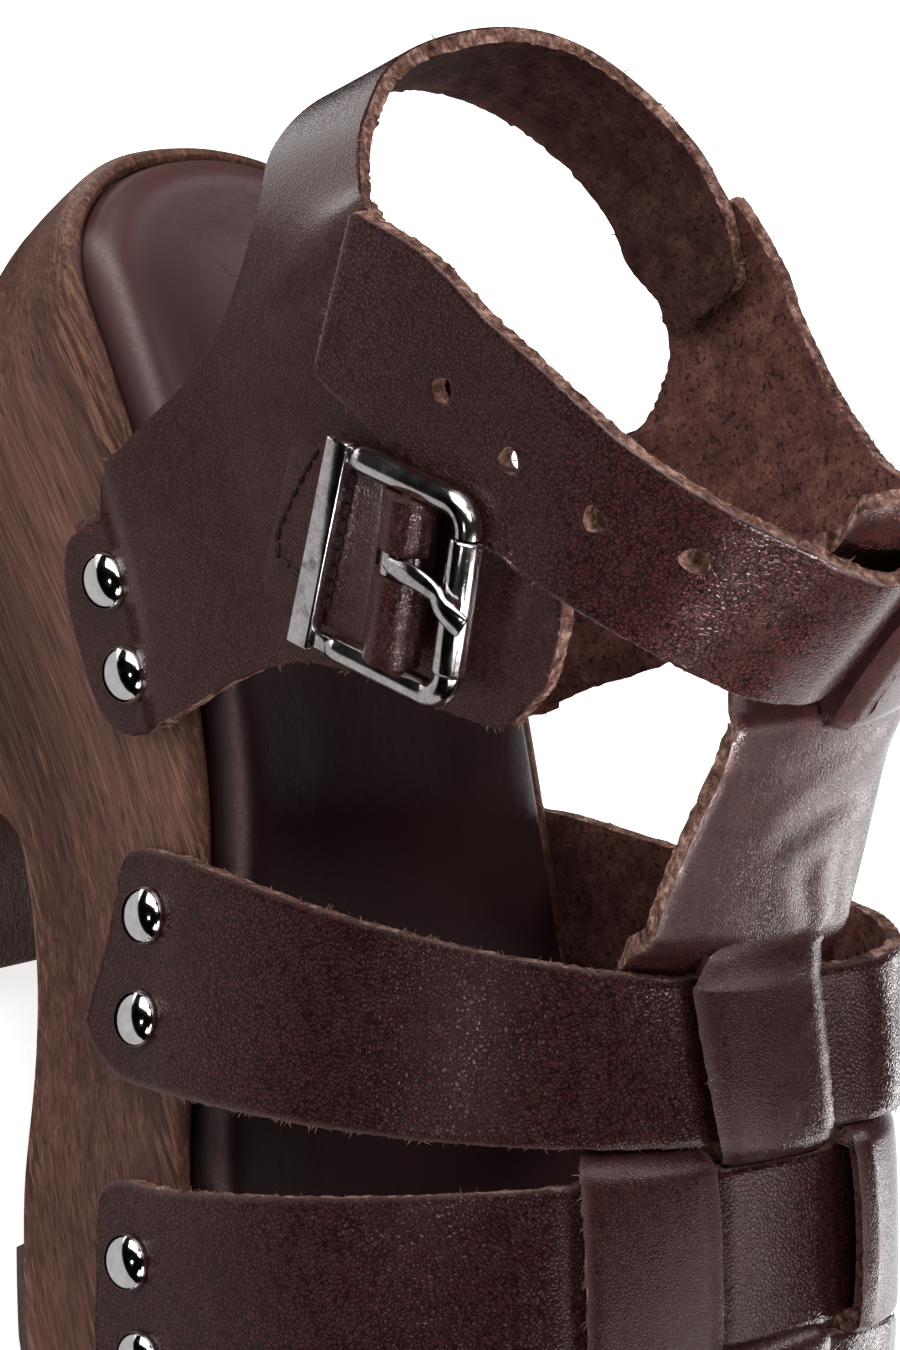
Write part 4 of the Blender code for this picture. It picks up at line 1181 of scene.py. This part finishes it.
stud_profile = [(0.0, STUD_SEAT), (STUD_RADIUS * 0.9, STUD_SEAT),
                (STUD_RADIUS * 0.98, 0.0), (STUD_RADIUS, STUD_RIM)]
for k in range(1, STUD_STEPS + 1):
    lean = math.pi / 2 * k / STUD_STEPS
    stud_profile.append((STUD_RADIUS * math.cos(lean), STUD_RIM + (STUD_HEIGHT - STUD_RIM) * math.sin(lean)))
stud_pattern = turned_pattern("stud_pattern", stud_profile, STUD_SIDES)
stud_places = []
stud_turns = []
stud_nodes = []
for name, lateral_x, medial_x in STUD_PAIRS:
    for side, centre, word in ((LATERAL, lateral_x, "lateral"), (MEDIAL, medial_x, "medial")):
        for letter, shift in (("a", -0.5), ("b", 0.5)):
            root = strap_root(centre + shift * STUD_SPACING, side)
            ahead = strap_root(root[0] + 1.0, side)
            facing = Vector((-side * (ahead[1] - root[1]), side, 0)).normalized()
            stud_places.append(root + np.array(facing) * (LEATHER / 2 + 0.15) - (0, 0, STUD_DROP))
            stud_turns.append(facing.to_track_quat("Z", "X"))
            stud_nodes.append(f"stud_{name}_{word}_{letter}")
studs = repeat("stud_heads", stud_pattern, stud_places, stud_turns, stud_metal)
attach(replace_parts(studs, *stud_nodes), "shoe")

# Loose fibres on the cut edges
# Short ends of leather fibre that stand out of every raw edge and punched hole, thicker in some places
# than in others.
FIBRES_PER_MM = 3.0
FIBRE_LENGTH = 0.46
FIBRE_SPREAD = 0.46
FIBRE_TILT = 0.8
FIBRE_LIMITS = (0.12, 1.1)
FIBRE_PROFILE = ((0.09, 0.0), (0.08, 0.35), (0.05, 0.7), (0.0, 1.0))
loose_fibre = mottled(
    "loose_fibre", {"Specular IOR Level": 0.1}, (900.0, 2.0),
    (0.3, rgb(0.07, 0.032, 0.025)), (0.7, rgb(0.3, 0.17, 0.135)), (0.2, 0.7))
chance = np.random.default_rng(71)
starts, ends, aways, facings = (np.concatenate(column) for column in zip(*cut_edges))
aways = unit(aways)
crowding = np.linalg.norm(ends - starts, axis=1) * FIBRES_PER_MM * chance.gamma(0.8, 1.25, len(starts))
roots = np.repeat(np.arange(len(starts)), chance.poisson(crowding))
spread = chance.uniform(-FIBRE_SPREAD, FIBRE_SPREAD, (len(roots), 1)) * LEATHER
fibre_places = starts[roots] + (ends - starts)[roots] * chance.random((len(roots), 1))
fibre_places = fibre_places + facings[roots] * spread
fibre_ways = aways[roots] + chance.normal(0.0, FIBRE_TILT, (len(roots), 3))
fibre_turns = [Vector(way).to_track_quat("Z", "Y") for way in fibre_ways]
fibre_lengths = np.clip(chance.gamma(2.2, FIBRE_LENGTH / 2.2, len(roots)), *FIBRE_LIMITS)
fibre_pattern = turned_pattern("fibre_pattern", FIBRE_PROFILE, 3, bend=0.3)
fibres = repeat("loose_fibres", fibre_pattern, fibre_places, fibre_turns, loose_fibre, fibre_lengths)
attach(fibres, "shoe")

# Buckle tab and its stitching
# A strip of the same leather folded round the buckle's middle bar, slit for the prong, its two layers
# sewn together and to the quarter with waxed brown thread on both sides of the keeper.
BUCKLE_PIVOT = np.array((70.0, -38.0, 117.2))
BUCKLE_RISE = math.radians(50.6)
buckle_axes = np.array((
    (math.cos(BUCKLE_RISE), 0.0, math.sin(BUCKLE_RISE)),
    (-math.sin(BUCKLE_RISE), 0.0, math.cos(BUCKLE_RISE)),
    (0.0, -1.0, 0.0),
))
TAB_END = -23.9
TAB_PROFILE = (
    # along the strap, out of the shoe, from the sewn end over the outer layer to the bar
    (TAB_END, -3.2), (-23.6, -1.6), (-22.4, -1.05), (-17.0, -0.95), (-12.5, -0.95), (-8.0, -0.7),
    (-5.2, -0.35), (-3.6, 0.75), (-2.0, 2.45), (0.2, 3.4), (2.2, 2.75), (3.5, 1.0),
    # and round the bar back along the inner layer
    (3.6, -1.0), (2.4, -2.9), (0.0, -3.9), (-4.0, -4.5), (-12.0, -4.6), (-23.2, -4.6),
)
TAB_HALF = 10.4
TAB_CORNER = 4.5
TAB_SKEW = 0.1
TAB_COLUMNS = 36
TAB_CUT_ROWS = (5, 4)
# The tab's sides take the flesh painted darker as shaded.
TAB_FINISHES = UPPER_FINISHES + [shaded_flesh_side.material]
SHADED_FLESH = 3
SLOT = ((-4.0, 0.45, -2.9), (9.0, 3.8, 9.0))


def on_buckle(points):
    """Buckle millimetres (along, across, out) to shoe millimetres."""
    return BUCKLE_PIVOT + np.asarray(points, float) @ buckle_axes


profile = between(TAB_PROFILE + TAB_PROFILE[:1], [4] * len(TAB_PROFILE))[:-1]
tab_points = []
tab_faces = []
tab_kinds = []
for x, z in profile:
    reach = np.clip(1 - (x - TAB_END) / TAB_CORNER, 0.0, 1.0)
    half = TAB_HALF - TAB_CORNER * (1 - math.sqrt(max(1 - reach ** 2, 0.0)))
    skew = TAB_SKEW * ease((-x - 6.0) / 10.0)
    tab_points += [(x + skew * y, y, z) for y in np.linspace(-half, half, TAB_COLUMNS + 1)]
loops = len(profile)
for i in range(loops):
    low, high = i * (TAB_COLUMNS + 1), (i + 1) % loops * (TAB_COLUMNS + 1)
    tab_faces += [(low + j, low + j + 1, high + j + 1, high + j) for j in range(TAB_COLUMNS)]
    at_end = i < TAB_CUT_ROWS[0] or i >= loops - TAB_CUT_ROWS[1]
    tab_kinds += [RAW if at_end else GRAIN] * TAB_COLUMNS
for j, order in ((0, 1), (TAB_COLUMNS, -1)):
    tab_faces.append([i * (TAB_COLUMNS + 1) + j for i in range(loops)][::order])
    tab_kinds.append(SHADED_FLESH)
tab = new_piece("buckle_tab_leather", on_buckle(tab_points), tab_faces, TAB_FINISHES, tab_kinds, tidy=True)


def block(low, high):
    """Corner points and faces of a plain box between two corners."""
    corners = [(x, y, z) for x in (low[0], high[0]) for y in (low[1], high[1]) for z in (low[2], high[2])]
    faces = [(0, 1, 3, 2), (4, 6, 7, 5), (0, 4, 5, 1), (2, 3, 7, 6), (0, 2, 6, 4), (1, 5, 7, 3)]
    return corners, faces


slot_points, slot_faces = block(*SLOT)
cut_away(tab, new_piece("slot_tool", on_buckle(slot_points), slot_faces, TAB_FINISHES, [SHADED_FLESH] * 6, tidy=True))
crease(tab, 55)
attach(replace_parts(tab, "buckle_tab"), "shoe")

thread = mottled(
    "brown_thread", {"Specular IOR Level": 0.3}, (2400.0, 2.0),
    (0.35, rgb(0.006, 0.0024, 0.0022)), (0.65, rgb(0.032, 0.014, 0.012)), (0.3, 0.45), (0.0002, 0.6))
STITCH_PITCH = 2.0
STITCH_LENGTH = 1.95
STITCH_RADIUS = 0.38
STITCH_STEPS = 10
SEAMS = (
    # along, across, out, on the face of the tab
    ((-17.4, 10.4, -0.85), (-19.6, 5.6, -0.85), (-21.6, 0.6, -0.9), (-22.2, -2.2, -0.9), (-21.7, -4.8, -0.9),
     (-18.2, -5.8, -0.85), (-15.2, -6.2, -0.85)),
    ((-10.7, 9.6, -0.8), (-12.1, -8.6, -0.8)),
)
stitch_profile = [(0.0, -STITCH_LENGTH / 2)]
for k in range(1, STITCH_STEPS):
    share = k / STITCH_STEPS
    stitch_profile.append((STITCH_RADIUS * math.sin(math.pi * share) ** 0.5, STITCH_LENGTH * (share - 0.5)))
stitch_profile.append((0.0, STITCH_LENGTH / 2))
stitch_pattern = turned_pattern("stitch_pattern", stitch_profile, 10)


def seam_places(line):
    """Middles of the stitches along a seam and the way each points."""
    line = np.asarray(line, float)
    run = run_along(line)
    count = int(run[-1] / STITCH_PITCH)
    middles = (np.arange(count) + 0.5) * run[-1] / count
    before, at, after = (points_along(line, run, middles + step) for step in (-0.4, 0, 0.4))
    return at, after - before


stitch_places = []
stitch_turns = []
for seam in SEAMS:
    middles, ways = seam_places(on_buckle(seam))
    stitch_places += list(middles)
    stitch_turns += [Vector(way).to_track_quat("Z", "Y") for way in ways]
stitches = repeat("tab_stitches", stitch_pattern, stitch_places, stitch_turns, thread)
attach(stitches, "shoe")

# Buckle frame
# Antiqued gunmetal: a flat keeper bar, two round rails bent round to the roller bar, and a thin middle
# bar for the tab, mottled lighter and darker with dark stains.
gunmetal = Finish("gunmetal", {"Metallic": 1.0})
metal_cloud = gunmetal.noise(260.0, 5.0, 0.68)
metal_fine = gunmetal.noise(1900.0, 3.0, 0.6)
metal_stain = gunmetal.clear_range(gunmetal.noise(420.0, 4.0, 0.6), 0.55, 0.72)
metal_colour = gunmetal.ramp(
    metal_cloud * 0.65 + metal_fine * 0.35,
    (0.34, rgb(0.42, 0.38, 0.375)),
    (0.5, rgb(0.68, 0.635, 0.63)),
    (0.66, rgb(0.86, 0.82, 0.815)),
)
gunmetal.wear(
    base_color=gunmetal.blend(metal_colour, rgb(0.13, 0.105, 0.1), metal_stain * 0.6),
    roughness=metal_cloud * 0.16 + metal_stain * 0.1 + 0.06,
    normal=gunmetal.bump(metal_fine, 0.00002, 0.3),
)
KEEPER_AT = -13.3
KEEPER_HALF = 13.5
KEEPER_LONG = 3.7
KEEPER_THICK = 2.2
KEEPER_LIFT = 0.35
KEEPER_SKEW = 0.081
KEEPER_BEVEL = 0.4
FRAME_HALF = 12.0
NECK_HALVES = (1.1, 0.75)
RAIL_NOSE = ((-10.0, 0.6), (-9.8, 1.15), (-9.4, 1.5), (-8.8, 1.66))
RAIL_START = -8.0
MIDDLE_BAR = (-11.4, -10.0, 0.0, 10.0, 11.4)
RAIL_RADIUS = 1.7
BAR_RADIUS = 1.2
ROLLER_AT = 10.0
CORNER_RADIUS = 3.4


def tube(path, radii, segments, flat=None):
    """Points and faces of a closed round bar along a path; flat gives its height as a share of its width."""
    path = np.asarray(path, float)
    flat = np.ones(len(path)) if flat is None else flat
    ways = unit(np.gradient(path, axis=0))
    points = []
    for point, way, radius, share in zip(path, ways, radii, flat):
        side = unit(np.cross(way, (0.0, 0.0, 1.0)))
        up = np.cross(side, way)
        points += [point + radius * (cosine * side + share * sine * up) for cosine, sine in circle(segments)]
    last = (len(path) - 1) * segments
    caps = [tuple(range(segments - 1, -1, -1)), tuple(range(last, last + segments))]
    return points, ring_faces(len(path), segments) + caps


def metal_piece(name, points, faces):
    """A piece of the buckle from buckle millimetres."""
    return new_piece(name, on_buckle(points), faces, [gunmetal.material], tidy=True)


rail = [(x, FRAME_HALF, radius) for x, radius in RAIL_NOSE]
rail += [(x, FRAME_HALF, RAIL_RADIUS) for x in np.linspace(RAIL_START, ROLLER_AT - CORNER_RADIUS, 12)]
for turn in np.linspace(0.0, math.pi / 2, 10)[1:]:
    rail.append((ROLLER_AT - CORNER_RADIUS * (1 - math.sin(turn)),
                 FRAME_HALF - CORNER_RADIUS * (1 - math.cos(turn)), RAIL_RADIUS))
rail.append((ROLLER_AT, FRAME_HALF - CORNER_RADIUS - 0.3, BAR_RADIUS))
rail += [(x, -y, radius) for x, y, radius in rail[::-1]]
rails = tube([(x, y, 0.0) for x, y, _ in rail], [radius for _, _, radius in rail], 24)
middle_bar = tube([(0.0, y, 0.0) for y in MIDDLE_BAR], [BAR_RADIUS] * len(MIDDLE_BAR), 16)
keeper = block((KEEPER_AT - KEEPER_LONG / 2, -KEEPER_HALF, KEEPER_LIFT - KEEPER_THICK / 2),
               (KEEPER_AT + KEEPER_LONG / 2, KEEPER_HALF, KEEPER_LIFT + KEEPER_THICK / 2))
necks = [block((KEEPER_AT + 1.0, side * FRAME_HALF - NECK_HALVES[0], -NECK_HALVES[1]),
               (-9.0, side * FRAME_HALF + NECK_HALVES[0], NECK_HALVES[1])) for side in (-1, 1)]
frame_points, frame_faces = joined([keeper] + necks)
frame_points = [(x + KEEPER_SKEW * y * (x < -10.0), y, z) for x, y, z in frame_points]
square_metal = metal_piece("buckle_keeper", frame_points, frame_faces)
bevel = square_metal.modifiers.new("edges", "BEVEL")
bevel.width = KEEPER_BEVEL * MM
bevel.segments = 3
bevel.limit_method = "ANGLE"
bevel.angle_limit = math.radians(40)
plain_mesh(square_metal)
crease(square_metal, 60)
bar_points, bar_faces = joined([rails, middle_bar])
round_metal = metal_piece("buckle_rails", bar_points, bar_faces)
crease(round_metal, 50)
for piece in (square_metal, round_metal):
    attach(piece, "shoe")
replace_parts(square_metal, "buckle_frame")

# Buckle roller
# A sleeve of rolled sheet metal that turns on the end bar, with its seam along the inside.
ROLLER_RADIUS = 2.2
ROLLER_HALF = 8.4
ROLLER_SIDES = 40
BORE_RADIUS = BAR_RADIUS + 0.3
SEAM_DEPTH = 0.16
ROLLER_END = (
    # radius, distance from the end, from the outside in
    (ROLLER_RADIUS, 0.4),
    (ROLLER_RADIUS - 0.1, 0.12),
    (ROLLER_RADIUS - 0.35, 0.0),
    (BORE_RADIUS, 0.1),
)


def sleeve(profile, at, segments, seam=0.0):
    """Points and faces of a ring turned across the buckle, with a seam sunk along its outside."""
    points = []
    for radius, y in profile:
        for k, (cosine, sine) in enumerate(circle(segments)):
            reach = radius - seam if k == 0 and radius > BORE_RADIUS else radius
            points.append((at + reach * cosine, y, reach * sine))
    return points, ring_faces(len(profile), segments, closed=True)


roller_profile = [(radius, -ROLLER_HALF + inset) for radius, inset in ROLLER_END[::-1]]
roller_profile += [(radius, ROLLER_HALF - inset) for radius, inset in ROLLER_END]
roller_points, roller_faces = sleeve(roller_profile, ROLLER_AT, ROLLER_SIDES, SEAM_DEPTH)
roller = metal_piece("buckle_roller_sleeve", roller_points, roller_faces)
crease(roller, 45)
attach(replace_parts(roller, "buckle_roller"), "roller")

# Buckle prong
# A wire looped on the middle bar, cranked up over the roller and hammered flat at its tip.
PRONG_PATH = (
    # along, across, out, half-width, height as a share of the width
    (-0.6, 2.05, 2.1, 0.9, 0.6),
    (0.8, 2.1, 2.4, 1.25, 0.52),
    (2.8, 2.15, 2.55, 1.45, 0.5),
    (4.8, 2.15, 2.65, 1.45, 0.54),
    (7.0, 1.9, 2.65, 1.35, 0.6),
    (8.6, 1.5, 2.8, 1.25, 0.6),
    (9.6, 0.95, 3.15, 1.25, 0.56),
    (10.4, 0.5, 3.35, 1.35, 0.52),
    (11.4, 0.1, 3.35, 1.5, 0.46),
    (12.6, -0.45, 3.1, 1.6, 0.42),
    (13.5, -0.95, 2.8, 1.6, 0.4),
    (13.7, -1.05, 2.72, 1.4, 0.38),
)
EYE_RADIUS = 2.7
EYE_ENDS = (0.7, 3.5)
EYE_SIDES = 24
pin = between(PRONG_PATH, [3] * (len(PRONG_PATH) - 1))
pin_part = tube(pin[:, :3], pin[:, 3], 18, pin[:, 4])
eye_low, eye_high = EYE_ENDS
eye_profile = ((BORE_RADIUS, eye_low), (EYE_RADIUS, eye_low), (EYE_RADIUS, eye_high), (BORE_RADIUS, eye_high))
prong_points, prong_faces = joined([pin_part, sleeve(eye_profile, 0.0, EYE_SIDES)])
prong = metal_piece("buckle_prong_pin", prong_points, prong_faces)
crease(prong, 50)
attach(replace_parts(prong, "buckle_prong"), "prong")

# Floor, light and camera
# A white sweep under soft studio light from the inner side, seen from above the outer side with the
# camera rolled so that the toe points down the picture.
WHITE = rgb(1.0, 1.0, 1.0)
FLOOR_Z = -0.05
FLOOR_CORNERS = ((-2600, -2600), (2800, -2600), (2800, 2600), (-2600, 2600))


def paper(name, glow, dark, light):
    """Plain paper, mottled between two greys, that gives some light of its own."""
    constants = {"Specular IOR Level": 0.1, "Emission Color": WHITE, "Emission Strength": glow}
    return mottled(name, constants, (900.0, 2.0),
                   (0.3, rgb(dark, dark, dark)), (0.7, rgb(light, light, light)), (0.1, 0.85))


floor_paper = paper("floor_paper", 0.75, 0.86, 0.9)
floor_points = [(x, y, FLOOR_Z) for x, y in FLOOR_CORNERS]
floor = new_piece("studio_floor", floor_points, [(0, 1, 2, 3)], [floor_paper])
floor.visible_glossy = False

scene = bpy.context.scene
scene.view_settings.view_transform = "Standard"
world = bpy.data.worlds.new("studio_world")
scene.world = world
world.use_nodes = True
sky = world.node_tree.nodes["Background"]
sky.inputs["Color"].default_value = WHITE
sky.inputs["Strength"].default_value = 0.06
world.cycles_visibility.glossy = False

TARGET = np.array((75.0, 0.0, 80.0))


def area_light(name, direction, distance, size, watts, aim=TARGET, spread=180.0):
    """Soft light that looks at a place of the shoe from a direction, distances in millimetres."""
    direction = unit(direction)
    data = bpy.data.lights.new(name, "AREA")
    data.shape = "RECTANGLE"
    data.size = size[0] * MM
    data.size_y = size[1] * MM
    data.energy = watts
    data.spread = math.radians(spread)
    lamp = bpy.data.objects.new(name, data)
    lamp.location = to_part(aim + direction * distance)
    lamp.rotation_euler = Vector(direction).to_track_quat("Z", "Y").to_euler()
    scene.collection.objects.link(lamp)


STRAP_SHOULDER = np.array((97.0, -8.0, 154.0))
area_light("key_light", (0.52, 0.85, 0.03), 1000.0, (620.0, 220.0), 6.0)
area_light("top_light", (0.82, 0.1, 0.55), 900.0, (600.0, 500.0), 3.0)
area_light("over_light", (-0.15, -0.28, 0.95), 800.0, (300.0, 300.0), 1.6)
area_light("outer_light", (-0.7, -0.4, 0.6), 480.0, (420.0, 420.0), 2.0)
area_light("heel_light", (-0.25, 0.62, 0.74), 700.0, (240.0, 240.0), 1.8)
area_light("side_light", (0.1, -0.95, 0.25), 900.0, (80.0, 80.0), 0.42)
area_light("front_light", (0.77, -0.41, 0.38), 900.0, (280.0, 280.0), 1.0)
area_light("strap_light", (0.77, -0.41, 0.38), 450.0, (60.0, 60.0), 0.02, STRAP_SHOULDER, 10.0)

CARD_Z = 0.3
for name, low_x, low_y, high_x, high_y, glow in (
    ("heel_card", -330.0, -190.0, -70.0, 60.0, 2.0),
    ("inner_card", 40.0, 80.0, 420.0, 420.0, 2.0),
    ("outer_card", -140.0, -175.0, 300.0, -50.0, 0.45),
):
    card_corners = ((low_x, low_y), (high_x, low_y), (high_x, high_y), (low_x, high_y))
    card_points = [(x, y, CARD_Z) for x, y in card_corners]
    card = new_piece(name, card_points, [(0, 1, 2, 3)], [paper(name + "_paper", glow, 0.02, 0.03)])
    card.visible_camera = card.visible_diffuse = card.visible_shadow = False

CAMERA_TURN = math.radians(12.1)
CAMERA_HEIGHT = math.radians(45.6)
CAMERA_ROLL = math.radians(61.7)
CAMERA_DISTANCE = 900.0
LENS = 191.3
back_way = np.array((math.sin(CAMERA_TURN) * math.cos(CAMERA_HEIGHT),
                     -math.cos(CAMERA_TURN) * math.cos(CAMERA_HEIGHT), math.sin(CAMERA_HEIGHT)))
level = np.array((math.cos(CAMERA_TURN), math.sin(CAMERA_TURN), 0.0))
raised = np.cross(back_way, level)
right = level * math.cos(CAMERA_ROLL) + raised * math.sin(CAMERA_ROLL)
up = -level * math.sin(CAMERA_ROLL) + raised * math.cos(CAMERA_ROLL)
lens = bpy.data.cameras.new("photo_camera")
lens.lens = LENS
lens.sensor_width = 36.0
lens.clip_start = 0.05
lens.clip_end = 20.0
camera = bpy.data.objects.new("photo_camera", lens)
turned = Matrix((right, up, back_way)).transposed().to_4x4()
camera.matrix_world = Matrix.Translation(to_part(TARGET + back_way * CAMERA_DISTANCE)) @ turned
scene.collection.objects.link(camera)
scene.camera = camera
